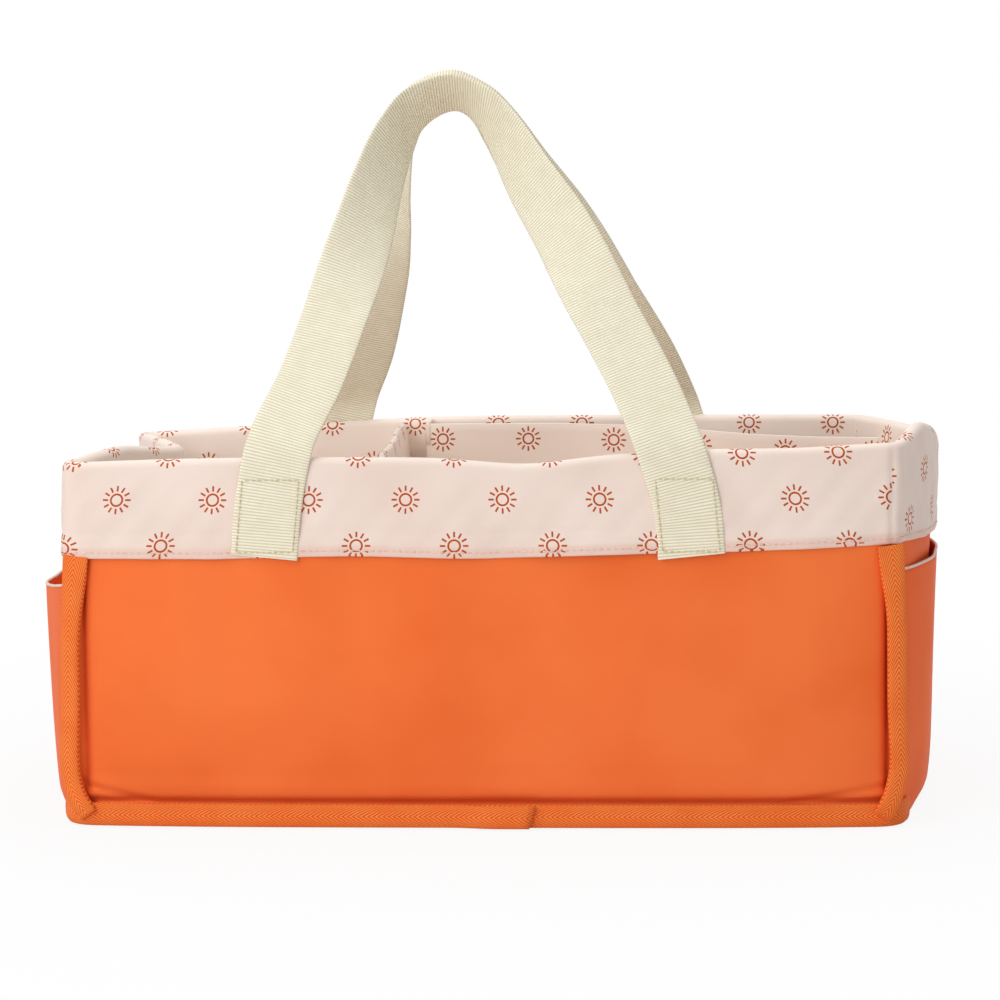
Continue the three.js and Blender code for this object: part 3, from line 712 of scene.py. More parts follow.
class CaddyStage(bpy.types.PropertyGroup):
    """The camera and the lights."""

    camera_place: bpy.props.FloatVectorProperty(
        name="Camera place", description="Where the camera stands", subtype="TRANSLATION", unit="LENGTH",
        size=3, default=(0.0777, -1.5647, 0.3196))
    camera_yaw: angle_property("Yaw", "How far the camera looks to the right", -2.712)
    camera_pitch: angle_property("Pitch", "How far the camera looks down", 6.372)
    camera_roll: angle_property("Roll", "How far the camera turns about its view", -0.462)
    lens: bpy.props.FloatProperty(
        name="Lens", description="Focal length on a 36 mm sensor", default=110.3, subtype="DISTANCE_CAMERA")
    key_power: power_property("Key light", "Power of the soft light from the upper left", 13.0)
    gloss_power: power_property("Gloss light", "Power of the weak low light that the satin mirrors", 5.5)
    top_power: power_property("Top light", "Power of the soft light from above", 11.0)
    sky: bpy.props.FloatProperty(
        name="Surroundings", description="Brightness of the white surroundings", default=0.5)


class CADDY_OT_materials(bpy.types.Operator):
    """Makes the finishes of all the pieces."""

    bl_idname = "caddy.materials"
    bl_label = "Finishes"

    def execute(self, context):
        satin_nylon()
        printed_satin()
        ribbed_webbing()
        herringbone_tape()
        for name, values in PLAIN_FINISHES.items():
            plain_material(name, *values)
        return {"FINISHED"}


def wall_columns(wall, corner_share=0.5):
    """The columns of a wall and of a share of the corners at its two ends, in order."""
    extra = int(round(CORNER_COLUMNS * corner_share))
    start = WALL_STARTS[wall]
    return np.arange(start - extra, start + WALL_COLUMNS[wall] + extra + 1) % LOOP


def cloth_uv(columns, lengths, middles, wall, rows_along):
    """UVs of a wall's cloth: across is the length round the bag from the wall's middle, and along is
    the height or the length up the cloth."""
    across = lengths[columns] - middles[wall]
    total = lengths[-1]
    across = (across + total / 2) % total - total / 2
    return spread_uv(np.broadcast_to(across, rows_along.shape), rows_along)


SIDES = ("front", "right", "back", "left")
# A wall's sheet: its rows, how much closer they lie towards the floor, and the height that it starts from
SHEET_ROWS = 84
ROWS_POWER = 1.25
SHEET_FOOT = 1.3
# Soft folds: the seed of each, its wavelength, how upright it may run and its depth
SATIN_FOLDS = [(11, 95, 0.35, 1), (23, 38, 0.35, 0.35)]
# How full the foam makes the short walls, against the long ones, and how much of it is gone at the top
SHORT_FULLNESS_SHARE = 0.4
FULLNESS_FALL_SHARE = 0.8
# Where the foam's fullness, the folds and the valleys rise and fall: a height, and a reach above it
FULLNESS_RISE = (10, 22)
FULLNESS_FALL = (60, 80)
FOLDS_RISE = (14, 20)
VALLEY_RISE = (12, 10)
# What the base tape does to the wall: a soft swell over it and a groove along its edge. Each is a
# depth, the height of its middle and its width
BASE_SWELL = (1.5, 19, 5.5)
BASE_GROOVE = (-3.4, 12.2, 2.1)
# How far the wall's foot tucks in behind the tape, and up to which height
FOOT_TUCK = 1.2
FOOT_TUCK_TOP = 12
# Where the front and back draw in beside the corner tapes: the valleys' distance from their middle
SEAM_VALLEY = 193.9
SEAM_MIDDLE = 0.9
SEAM_WIDTH = 2.8
SEAM_DEPTH = 3.6
# From this share of the half depth on, a point belongs to the front or the back
NEAR_LONG_SHARE = 0.9
# The two creases at the front's lower corners: a point that each passes through, its slope, where it
# begins and how much further out it is at its deepest
CORNER_CREASES = [(-191, 20, -0.22, -156, -12), (150, 13, 0.17, 138, 14)]
CREASE_WIDTH = 1.7
CREASE_DEPTH = 1.8


def corner_creases(x, z):
    """The creases where the front is gathered into its lower corners: for each, the bell of the height
    over its line, faded in towards its corner."""
    return sum(bump(z - height - slope * (x - across), CREASE_WIDTH) * rising(x, begin, reach)
               for across, height, slope, begin, reach in CORNER_CREASES)


def level_ridge(heights, depth, middle, width):
    """A ridge along a wall at the height of its middle, or a groove where the depth is below zero."""
    return depth * bump(heights - middle, width)


def add_wall_sheets(name, top_gap, offset, thickness, material, slot, padded=False):
    """One sheet on each wall, from the base to just under the rim. Its face stands at the offset, plus
    the foam's fullness p (1 - q^20) low on the wall, plus the swell and groove of the base tape, less a
    valley beside each corner seam and the creases at the front's lower corners, plus soft folds."""
    shape = bpy.context.scene.caddy_shape
    lengths, middles = column_lengths()
    rim = RIM_HEIGHT * round_the_bag(RIM_SHARES)
    share = np.linspace(0, 1, SHEET_ROWS) ** ROWS_POWER
    heights = SHEET_FOOT + (rim - top_gap - SHEET_FOOT)[None] * share[:, None]
    q = COLUMN_SHARE[None]
    long_wall = np.isin(COLUMN_WALL, (FRONT, BACK))[None]
    puff = shape.puff / MM * np.where(long_wall, 1 - q ** 20, SHORT_FULLNESS_SHARE * (1 - q ** 2))
    body = rising(heights, *FULLNESS_RISE) * (1 - FULLNESS_FALL_SHARE * rising(heights, *FULLNESS_FALL))
    tuck = level_ridge(heights, *BASE_SWELL) + level_ridge(heights, *BASE_GROOVE)
    tuck = tuck - FOOT_TUCK * (1 - smooth_step(heights / FOOT_TUCK_TOP))
    points = wall_points(heights, np.zeros_like(heights))
    soft = shape.fold_depth / MM * folds(points, SATIN_FOLDS) * rising(heights, *FOLDS_RISE)
    x, y = points[..., 0], points[..., 1]
    on_long = np.abs(y) > NEAR_LONG_SHARE * HALF_DEPTH
    seam = bump(np.abs(x - SEAM_MIDDLE) - SEAM_VALLEY, SEAM_WIDTH) * on_long
    tuck = tuck - SEAM_DEPTH * seam * rising(heights, *VALLEY_RISE)
    tuck = tuck - CREASE_DEPTH * corner_creases(x, heights) * (on_long & (y < 0))
    points = wall_points(heights, offset + puff * body + tuck + soft)
    for wall, side in enumerate(SIDES):
        # The foam stops short of the corners, where the cloths on its two sides are sewn together
        columns = wall_columns(wall, -0.5 if padded else 0.5)
        low, high = cloth_uv(columns, lengths, middles, wall, heights[:, columns])
        piece = surface(f"{side}_{name}_cloth", points[:, columns], material, low, high)
        thicken(piece, thickness)
        dress(piece, "bag", slot, f"{side}_{name}")


class CADDY_OT_walls(bpy.types.Operator):
    """Makes the four satin walls, the foam sheets inside them and the base."""

    bl_idname = "caddy.walls"
    bl_label = "Walls and base"

    def execute(self, context):
        add_wall_sheets("panel", top_gap=3, offset=0, thickness=SATIN_THICKNESS, material=SATIN,
                        slot="outer_nylon")
        add_wall_sheets("foam", top_gap=5, offset=FOAM_FACE, thickness=FOAM_THICKNESS, material=FOAM,
                        slot="foam_sheet", padded=True)
        add_floor_sheet("base_panel", height=0.9, wave=0.2, offset=-0.6, downward=True, material=SATIN,
                        slot="outer_nylon")
        add_floor_sheet("base_lining", height=FLOOR_LINING, wave=0.5, offset=LINING_FACE - 0.4,
                        downward=False, material=PRINT, slot="printed_lining")
        board = frame["nodes"]["base_board"]
        board.data.materials.clear()
        board.data.materials.append(bpy.data.materials[BOARD])
        return {"FINISHED"}


# A floor sheet: its rings from the edge to the middle, the waves it is drawn from and their length, and
# how far past the walls its cloth is cut at the ends
FLOOR_RINGS = 40
FLOOR_WAVES = 5
FLOOR_WAVELENGTH = 60
EDGE_RISE = 0.5
WELD_GAP = 0.02


def add_floor_sheet(name, height, wave, offset, downward, material, slot):
    """A sheet across the floor in rings: m + (edge - m) k, where m is the nearest point of the line
    along the middle and k runs from 1 at the edge to 0."""
    edge = wall_points(np.full((1, LOOP), height + EDGE_RISE), np.full((1, LOOP), float(offset)))[0]
    middle = edge.copy()
    reach = HALF_WIDTH - HALF_DEPTH
    middle[:, 0] = np.clip(edge[:, 0], -reach, reach)
    middle[:, 1] = 0
    share = np.linspace(1, 0, FLOOR_RINGS)
    points = middle[None] + (edge - middle)[None] * share[:, None, None]
    fade = (1 - share[:, None] ** 6) * share[:, None] ** 0.5
    points[..., 2] = height + wave * fade * ripple(points, 31, FLOOR_WAVELENGTH, waves=FLOOR_WAVES)
    if downward:
        points = points[::-1]
    low = points[..., :2]
    high = np.roll(low, -1, axis=1)
    piece = surface(f"{name}_cloth", points, material, low, high, loop=True)
    weld = piece.modifiers.new("weld", "WELD")
    weld.merge_threshold = WELD_GAP * MM
    thicken(piece, CLOTH)
    dress(piece, "bag", slot, name)


# The hem's turn, from the raw edge inside it to the cuff's face: how far in, and how far over the hem
HEM_TURN = [(-1.3, 8), (-1.35, 4), (-1.3, 1.2), (-1.05, 0.35), (-0.6, 0), (-0.2, 0.3), (0, 0.9)]
# The lining's rows up the cuff, over the rim and down the inside
CUFF_ROWS = 24
ROLL_ROWS = 13
INSIDE_ROWS = 45
FLOOR_CLEARANCE = 0.5


def lining_profile(rim, hem):
    """The lining's cross-section at each column, from inside its turned hem, up the outside, over the
    rim on a half circle and down the inside to the floor: heights, offsets and the length along the
    cloth from the crest, plus outside and minus inside."""
    shape = bpy.context.scene.caddy_shape
    roll = shape.rim_roll / MM
    axis = CUFF_FACE - roll
    quarter = roll * math.pi / 2
    heights, offsets, lengths = [], [], []

    def add(height, offset, length):
        heights.append(height)
        offsets.append(np.full(LOOP, offset))
        lengths.append(length)

    shoulder = rim - roll
    for offset, rise in HEM_TURN:
        turned = offset - rise if offset < -1 else 0
        add(hem + rise, CUFF_FACE + offset, quarter + shoulder - hem + turned)
    foot = hem + HEM_TURN[-1][1]
    for share in np.linspace(0, 1, CUFF_ROWS + 2)[1:-1]:
        height = foot + (shoulder - foot) * share
        add(height, CUFF_FACE, quarter + shoulder - height)
    for turn in np.linspace(0, math.pi, ROLL_ROWS):
        crest = roll * (math.pi / 2 - turn) + 0 * rim
        add(shoulder + roll * math.sin(turn), axis + roll * math.cos(turn), crest)
    floor = FLOOR_LINING + FLOOR_CLEARANCE
    for share in np.linspace(0, 1, INSIDE_ROWS + 1)[1:]:
        height = shoulder + (floor - shoulder) * share
        add(height, LINING_FACE, height - shoulder - quarter)
    return np.array(heights), np.array(offsets), np.array(lengths)


# Where the print starts on each wall's cloth: round the bag, and up the cloth
PRINT_START = {FRONT: (12.3, 0.1), RIGHT: (-54.3, -11.9), BACK: (-2.5, 6.6), LEFT: (20.0, 0.1)}
# The front's rows are drawn together towards the rim, by this share of the width for each millimetre
PRINT_FAN = 0.0007
PRINT_FAN_ROW = 21.9
# How many columns past a wall's end its cloth is sewn to the next one
SEAM_COLUMN = 3
# The rows of the print run level with the floor: the height that they are counted from, and whether
# they run level on a wall's outside (1), on its inside (-1) or along its rim (0)
PRINT_LEVEL = 178.7
PRINT_SIDE = [1, 1, -1, 0]

# The cuff's and the inside's soft folds, in the same form as the satin's, how far above and below the
# rim they are full, and how far the inside hangs in from its place
CUFF_FOLDS = [(7, 42, 0.8, 1.2), (37, 17, 0.9, 0.6)]
INSIDE_FOLDS = [(13, 80, 0.35, 0.7), (43, 26, 0.9, 0.3)]
CUFF_FOLDS_REACH = 14
INSIDE_FOLDS_REACH = 20
INSIDE_HANG = 0.8
# How far down the cuff its flare is full, the length of its waves, and its share on the right, where
# the cuff lies closer
FLARE_REACH = 46
FLARE_WAVELENGTH = 70
RIGHT_FLARE_SHARE = 0.6
# The shallow valley over the end of the hem's turn: its rise over the hem, its depth and its width
TURN_VALLEY_RISE = 12
TURN_VALLEY = (0.35, 1.4)
# The cloth drawn in along the corner seams: a depth, a width in columns, and how far down from the rim
# it is at its deepest
SEAM_GROOVE = (0.9, 1.1)
SEAM_GROOVE_REACH = 8
# How far from the rim the inside's colour, painted lighter as painted light, has given way to the cuff's
INSIDE_PAINTED_LIGHT_REACH = 6
# The hem looks double up to this rise over its edge, and fades over the softness. The stitches run just
# below, each standing out a little
DOUBLE_RISE = 4.0
DOUBLE_SOFTNESS = 1.5
STITCH_RISE = 3.4
STITCH_STAND = 0.15
STITCH_RADIUS = 0.34


def print_uv(lengths, middles, along):
    """The lining's UVs: each wall's cloth runs from the seam in the corner before it to the seam in
    its own corner, and starts its print afresh."""
    columns = np.arange(LOOP)
    owner = np.roll(COLUMN_WALL, SEAM_COLUMN - CORNER_COLUMNS)
    start = np.array([PRINT_START[wall][0] for wall in range(4)])[owner]
    rise = np.array([PRINT_START[wall][1] for wall in range(4)])[owner]
    total = lengths[-1]
    base = middles[owner] - start
    first = (lengths[columns] - base + total / 2) % total - total / 2
    second = first + lengths[columns + 1] - lengths[columns]
    after = np.roll(along, -1, axis=1)
    fan = PRINT_FAN * (owner == FRONT)
    low = first * (1 - fan * (along + rise - PRINT_FAN_ROW)), along + rise
    high = second * (1 - fan * (after + rise - PRINT_FAN_ROW)), after + rise
    return np.stack(low, axis=-1), np.stack(high, axis=-1)


class CADDY_OT_lining(bpy.types.Operator):
    """Makes the printed lining, turned over the rim into a cuff, and the stitching of its hem."""

    bl_idname = "caddy.lining"
    bl_label = "Lining and cuff"

    def execute(self, context):
        shape = context.scene.caddy_shape
        rim = RIM_HEIGHT * round_the_bag(RIM_SHARES)
        hem = RIM_HEIGHT * round_the_bag(HEM_SHARES)
        heights, offsets, along = lining_profile(rim, hem)
        outside = along > 0

        def hanging(heights):
            """The walls' bow, or outside, but for the right wall, the rim's bow where that is greater."""
            lying = wall_bow(heights)
            hangs = outside & (COLUMN_WALL != RIGHT)
            return np.where(hangs, np.maximum(lying, wall_bow(rim[None])), lying)

        plain = wall_points(heights, offsets, hanging)
        down = np.clip(along / FLARE_REACH, 0, 1.05)
        flare = shape.cuff_flare / MM * down ** 1.5 * (1 + 0.5 * ripple(plain, 5, FLARE_WAVELENGTH))
        flare = flare * np.where(COLUMN_WALL == RIGHT, RIGHT_FLARE_SHARE, 1)
        soft = shape.fold_depth / MM * folds(plain, CUFF_FOLDS) * smooth_step(along / CUFF_FOLDS_REACH)
        slack = smooth_step(-along / INSIDE_FOLDS_REACH) * (folds(plain, INSIDE_FOLDS) - INSIDE_HANG)
        depth, width = TURN_VALLEY
        drawn = -depth * bump(along - (along.max(axis=0) - TURN_VALLEY_RISE), width)
        depth, width = SEAM_GROOVE
        from_seam = np.arange(LOOP)[:, None] - (WALL_STARTS[:4] + WALL_COLUMNS) - SEAM_COLUMN
        drawn = drawn - depth * bump(from_seam, width).sum(axis=1) * smooth_step(along / SEAM_GROOVE_REACH)
        points = wall_points(heights, offsets + np.where(outside, flare + soft + drawn, slack), hanging)
        level = np.array(PRINT_SIDE)[COLUMN_WALL] * (PRINT_LEVEL - rim)
        low, high = print_uv(*column_lengths(), along + level)
        piece = surface("lining_and_cuff", points, PRINT, low, high, loop=True)
        layers = 2 - rising(heights - hem, DOUBLE_RISE, DOUBLE_SOFTNESS)
        # Inside the bag the layers fall to 0, where the print takes its painted lighter colour, which is
        # painted light
        layers = layers * smooth_step(along / INSIDE_PAINTED_LIGHT_REACH)
        layer = piece.data.attributes.new("layers", "FLOAT", "POINT")
        layer.data.foreach_set("value", layers.ravel())
        thicken(piece, CLOTH)
        nodes = [f"{side}_lining" for side in SIDES]
        dress(piece, "bag", "printed_lining", *nodes)
        length = column_lengths()[0][-1]
        stitch_height = hem + STITCH_RISE
        first = len(HEM_TURN)
        nearest = np.argmin(np.abs(heights[first:first + CUFF_ROWS] - stitch_height[None]), axis=0)
        row = nearest.min() + first
        # A fifth of the way up to the next row
        path = points[row] + (points[row + 1] - points[row]) / 5
        path = np.concatenate([path, path[:1]])
        plan = outline(np.broadcast_to(stitch_height, (1, LOOP)))
        normals = level_normals(plan)
        normals = np.concatenate([normals, normals[:1]])
        spacing = context.scene.caddy_trim.stitch_spacing / MM
        rows = [capsules(path + normals * STITCH_STAND, normals, spacing, radius=STITCH_RADIUS)]
        stitch_piece("hem_stitching", rows, HEM_THREAD, slot="printed_lining")
        return {"FINISHED"}


# The side pockets: each one's wall, how far it stands out and how far its top edge sags in the middle
POCKETS = {
    "left": {"wall": LEFT, "bow": 26.0, "sag": 10.0},
    "right": {"wall": RIGHT, "bow": 24.7, "sag": 1.5},
}
# How far a pocket stands off its wall, the height it starts from, how soon it swells to its fullness,
# its rows and its folds
POCKET_GAP = 1.3
POCKET_FOOT = 1.3
POCKET_POWER = 0.08
POCKET_ROWS = 44
POCKET_ROWS_POWER = 1.2
POCKET_FOLD_DEPTH = 0.7
POCKET_FOLD_LENGTH = 60
POCKET_FOLD_REACH = 40
# The pocket's foot is rounded in: to this share of its fullness on the floor, and none above this height
FOOT_SHARE = 0.75
FOOT_TOP = 8.0
# The binding's section, from the outer face over the edge and back: how far out, and how far up
BINDING_SECTION = [(0.2, -0.8), (0.35, -0.3), (0.3, 0.15), (0.05, 0.4), (-0.45, 0.45), (-0.9, 0.3),
                   (-1.1, -0.2), (-1.05, -0.8), (-0.8, -0.85), (-0.4, 0.0), (0.0, -0.85)]


def pocket_bow(bow, top):
    """A pocket's bow at a height: g + (s + (bow - s) k^0.08 r) (1 - q^2), where k is the height's share
    of the top, s the wall's own bow at the base and r rounds the foot in."""
    def stand_out(heights):
        foot = FOOT_SHARE + (1 - FOOT_SHARE) * smooth_step(heights / FOOT_TOP)
        level = np.clip(heights / top, 0, 1) ** POCKET_POWER * foot
        cushion = (SHORT_BASE_BOW + (bow - SHORT_BASE_BOW) * level) * (1 - COLUMN_SHARE ** 2)
        long_wall = LONG_BOW * (1 - COLUMN_SHARE ** 4)
        short = np.isin(COLUMN_WALL, (LEFT, RIGHT)) & (np.abs(COLUMN_SHARE) < 1)
        return np.where(short, POCKET_GAP + cushion, np.where(np.abs(COLUMN_SHARE) < 1, long_wall, 0))
    return stand_out


class CADDY_OT_pockets(bpy.types.Operator):
    """Makes the two outside pockets and the pale bindings along their top edges."""

    bl_idname = "caddy.pockets"
    bl_label = "Side pockets"

    def execute(self, context):
        lengths, middles = column_lengths()
        for side, pocket in POCKETS.items():
            wall = pocket["wall"]
            top = cad(f"{side}_pocket")[1][2]
            bow = pocket_bow(pocket["bow"], top)
            columns = wall_columns(wall, 0.4)
            edge = top - pocket["sag"] * np.where(COLUMN_WALL == wall, 1 - COLUMN_SHARE ** 2, 0)
            share = np.linspace(0, 1, POCKET_ROWS) ** POCKET_ROWS_POWER
            heights = POCKET_FOOT + (edge - POCKET_FOOT)[None] * share[:, None]
            plain = wall_points(heights, np.zeros_like(heights), bow)
            soft = POCKET_FOLD_DEPTH * ripple(plain, 41, POCKET_FOLD_LENGTH)
            points = wall_points(heights, soft * smooth_step(heights / POCKET_FOLD_REACH), bow)
            low, high = cloth_uv(columns, lengths, middles, wall, heights[:, columns])
            piece = surface(f"{side}_pocket_cloth", points[:, columns], SATIN, low, high)
            thicken(piece, CLOTH)
            dress(piece, "bag", "outer_nylon", f"{side}_pocket")
            self.add_binding(side, points[-1], columns)
        return {"FINISHED"}

    def add_binding(self, side, edge, columns):
        """A narrow tape folded over the pocket's edge: its section carried along the edge."""
        normal = level_normals(edge[None, :, :2])
        up = np.array([0, 0, 1.0])
        rings = np.stack([edge + normal * out + up * rise for out, rise in BINDING_SECTION], axis=1)[columns]
        # The weave's own lengths: a column is about 3 mm wide, and the section's points lie 1 mm apart
        across = np.broadcast_to(np.arange(len(BINDING_SECTION)), rings.shape[:2])
        along = np.broadcast_to(np.arange(len(columns))[:, None] * 3.0, rings.shape[:2])
        uv = np.stack([across, along], axis=-1)
        piece = surface(f"{side}_pocket_trim", rings, BINDING, uv, uv, loop=True, caps=True)
        fix_faces(piece)
        dress(piece, "bag", "pocket_binding", f"{side}_pocket_binding")


def fix_faces(piece):
    """Turns a closed piece's faces outwards."""
    mesh = bmesh.new()
    mesh.from_mesh(piece.data)
    bmesh.ops.recalc_face_normals(mesh, faces=mesh.faces)
    mesh.to_mesh(piece.data)
    mesh.free()
    return piece


# The inner pocket's top edge from left to right, as shares of the rim's height
INNER_POCKET_TOP_SHARES = [0.99, 0.99, 0.99, 0.985, 0.972, 0.955, 0.946, 0.943]
# Its front left corner's radius, its rows, and the turn of its top edge: how far back and how far up.
# Then how far its foot stands off the floor lining, and the depth and the place of its soft sag
INNER_POCKET_RADIUS = 3
INNER_POCKET_ROWS = 44
INNER_POCKET_TURN = [(0.5, 0.45), (1.2, 0.2), (1.4, -1.0), (1.3, -11)]
INNER_POCKET_FOOT = 0.6
INNER_POCKET_SAG = 1.6
INNER_POCKET_SAG_LENGTH = 90
INNER_POCKET_SAG_RISE = (20, 60)
# Where its print starts: along it, and up it
INNER_PRINT_START = (2.5, 8.0)
# How far its right edge stands off the lining, and how far in from the walls the back lining lies
INNER_POCKET_GAP = 1.0
BACK_LINING_DEPTH = 9


class CADDY_OT_inner_pocket(bpy.types.Operator):
    """Makes the printed pocket inside, across the back of the right compartment."""

    bl_idname = "caddy.inner_pocket"
    bl_label = "Inner back pocket"

    def execute(self, context):
        low, high = cad("inner_pocket")
        left, face, back = low[0], low[1], high[1]
        radius, rows = INNER_POCKET_RADIUS, INNER_POCKET_ROWS
        turned = np.linspace(back, face + radius, 12)
        corner = np.linspace(0, math.pi / 2, 6)[1:-1]
        run = np.linspace(0, 1, 90)
        bend = len(turned)
        front = bend + len(corner)
        count = front + len(run)
        shares = np.linspace(0, 1, len(INNER_POCKET_TOP_SHARES))
        tops = RIM_HEIGHT * np.interp(run, shares, INNER_POCKET_TOP_SHARES)
        top = np.append(np.full(front, tops[0]), tops)
        foot = FLOOR_LINING + INNER_POCKET_FOOT
        share = np.append(np.linspace(0, 1, rows), np.ones(len(INNER_POCKET_TURN)))
        turn = np.concatenate([np.zeros((rows, 2)), INNER_POCKET_TURN])
        heights = foot + (top - foot)[None] * share[:, None] + turn[:, 1:]
        right = self.right_end(heights[:rows], face)
        right = np.append(right, np.full(len(INNER_POCKET_TURN), right[-1]))
        x = np.empty_like(heights)
        y = np.empty_like(heights)
        x[:, :bend] = left + turn[:, :1]
        y[:, :bend] = turned
        x[:, bend:front] = left + radius * (1 - np.cos(corner))
        y[:, bend:front] = face + radius * (1 - np.sin(corner))
        x[:, front:] = left + radius + (right[:, None] - left - radius) * run
        y[:, front:] = face + turn[:, :1]
        points = np.stack([x, y, heights], axis=-1)
        soft = np.sin(np.linspace(0, math.pi, count)) * rising(heights, *INNER_POCKET_SAG_RISE)
        points[..., 1] += INNER_POCKET_SAG * ripple(points, 17, INNER_POCKET_SAG_LENGTH) * soft
        across = lengths_along(points[30])
        along = heights - top[None]
        start, rise = INNER_PRINT_START
        uv_low, uv_high = spread_uv(np.broadcast_to(across + start, along.shape), along + rise)
        piece = surface("inner_pocket_cloth", points, PRINT, uv_low, uv_high)
        thicken(piece, CLOTH)
        dress(piece, "bag", "printed_lining", "inner_pocket")
        return {"FINISHED"}

    def right_end(self, heights, face):
        """Where the pocket meets the right wall's lining, at each row's height."""
        level = np.clip(heights[:, -1] / RIM_HEIGHT, 0, 1)
        bow = SHORT_BASE_BOW + (RIGHT_RIM_BOW - SHORT_BASE_BOW) * level ** RIGHT_BOW_POWER
        share = face / (HALF_DEPTH - BACK_LINING_DEPTH)
        return HALF_WIDTH + bow * (1 - share ** 2) + LINING_FACE - INNER_POCKET_GAP


# The divider: where it stands, how far its top leans at its front and back ends, half its thickness,
# the depth and the length of its waves, and its columns and rows
DIVIDER_X = -46.0
FRONT_LEAN = 4.5
BACK_LEAN = 9.0
DIVIDER_HALF = 1.5
DIVIDER_WAVE = 1.3
DIVIDER_WAVELENGTH = 85
DIVIDER_COLUMNS = 90
DIVIDER_ROWS = 48
# The strips that hold it: half their width, and their rows
STRIP_HALF = 5.0
STRIP_ROWS = 34


def divider_middle(height, depth, top):
    """The divider's middle: x = x0 - lean(y) (z / top)^4, leaning further at the back."""
    lean = FRONT_LEAN + (BACK_LEAN - FRONT_LEAN) * (depth / (2 * HALF_DEPTH) + 0.5)
    return DIVIDER_X - lean * (np.clip(height, 0, None) / top) ** 4


class CADDY_OT_divider(bpy.types.Operator):
    """Makes the padded divider and the hook and loop strips that hold it."""

    bl_idname = "caddy.divider"
    bl_label = "Divider"

    def execute(self, context):
        low, high = cad("cross_divider")
        top = high[2]
        depth = np.linspace(low[1], high[1], DIVIDER_COLUMNS)
        half, rows = DIVIDER_HALF, DIVIDER_ROWS
        up = np.linspace(low[2] + half, top - half, rows)
        over = np.linspace(0, math.pi, 9)[1:-1]
        side = np.concatenate([np.ones(rows), np.cos(over), -np.ones(rows), [-0.5, 0.5]])
        height = np.concatenate([up, top - half + half * np.sin(over), up[::-1], [low[2], low[2]]])
        height = np.broadcast_to(height, (len(depth), len(side)))
        place = np.broadcast_to(depth[:, None], height.shape)
        middle = divider_middle(height, place, top)
        ends = 1 - np.abs(place / high[1]) ** 14
        level = (height - low[2]) / (top - low[2])
        thick = half * (0.75 + 0.6 * ends * np.sin(math.pi * np.clip(level, 0.03, 0.97)) ** 0.4)
        plain = np.stack([middle, place, height], axis=-1)
        wave = DIVIDER_WAVE * ripple(plain, 29, DIVIDER_WAVELENGTH) * ends
        x = middle + side * thick + wave
        points = np.stack([x, place, height], axis=-1)
        across = lengths_along(points[DIVIDER_COLUMNS // 2])
        across = np.broadcast_to(across - across[rows], height.shape)
        first = np.stack([place, across], axis=-1)
        second = np.stack([place, np.roll(across, -1, axis=1)], axis=-1)
        second[:, -1, 1] = first[:, -1, 1] + half
        piece = surface("divider_pad", points, PRINT, first, second, loop=True, caps=True)
        fix_faces(piece)
        dress(piece, "divider", "printed_lining", "cross_divider")
        for side_name in ("front", "back"):
            for kind, body in (("loop", "bag"), ("hook", "divider")):
                self.add_strip(f"{side_name}_{kind}_strip", body, top)
        return {"FINISHED"}

    def add_strip(self, name, body, top):
        """A strip down the divider's end: a thin closed plate that follows the divider's middle."""
        low, high = cad(name)
        near, far = (high[1], low[1]) if high[1] < 0 else (low[1], high[1])
        height = np.linspace(low[2], high[2], STRIP_ROWS)[:, None]
        across = np.array([-1, -1, -0.5, 0, 0.5, 1, 1, 0.5, 0, -0.5]) * STRIP_HALF
        depth = np.array([far] + [near] * 5 + [far] * 4)
        middle = divider_middle(height, depth[None], top)
        points = np.stack(np.broadcast_arrays(middle + across, depth[None], height), axis=-1)
        piece = surface(f"{name}_woven", points, FASTENER, loop=True, caps=True)
        fix_faces(piece)
        dress(piece, body, "hook_and_loop", name)


# A tape: half its thickness, the points round it, and how far along it its spread and its slant reach
TAPE_HALF = 1.7
TAPE_POINTS = 20
SPREAD_REACH = 34
SLANT_REACH = 12


def tape_piece(node_name, width, path, wide, out, start_thin=0, end_thin=0, end_slant=0, ridge=1.0,
               spread=0.0):
    """A binding tape: a soft oval carried along a path, p + a cos(t)^0.75 wide + b sin(t)^0.9 out, so
    that its edges stay full. Towards the wall b is larger by the ridge of seam that the tape binds,
    and a is larger by the spread where the tape comes out from under the cuff."""
    steps = lengths_along(path)
    half_width = width / 2 * (1 + spread * (1 - smooth_step(steps / SPREAD_REACH)))[:, None]
    turn = np.arange(TAPE_POINTS) * 2 * math.pi / TAPE_POINTS
    cosine = np.sign(np.cos(turn)) * np.abs(np.cos(turn)) ** 0.75
    sine = np.sign(np.sin(turn)) * np.abs(np.sin(turn)) ** 0.9
    sine = np.where(sine < 0, ridge * sine, sine)
    thin = np.ones(len(path))
    if start_thin:
        thin *= 0.45 + 0.55 * smooth_step(steps / start_thin)
    if end_thin:
        thin *= 0.6 + 0.4 * smooth_step((steps[-1] - steps) / end_thin)
    rings = path[:, None] + wide[:, None] * (half_width * cosine)[..., None]
    rings = rings + out[:, None] * (TAPE_HALF * sine)[None, :, None] * thin[:, None, None]
    tangent = unit(np.gradient(path, axis=0))
    slant = end_slant * (1 - smooth_step((steps[-1] - steps) / SLANT_REACH))
    rings = rings + tangent[:, None] * (slant[:, None] * cosine[None])[..., None]
    across = np.broadcast_to(half_width * np.cos(turn), rings.shape[:2])
    along = np.broadcast_to(-steps[:, None], rings.shape[:2])
    first = np.stack([across, along], axis=-1)
    second = np.roll(first, -1, axis=1)
    piece = surface(f"{node_name}_woven", rings, TAPE, first, second, loop=True, caps=True)
    fix_faces(piece)
    return dress(piece, "bag", "binding_tape", node_name)


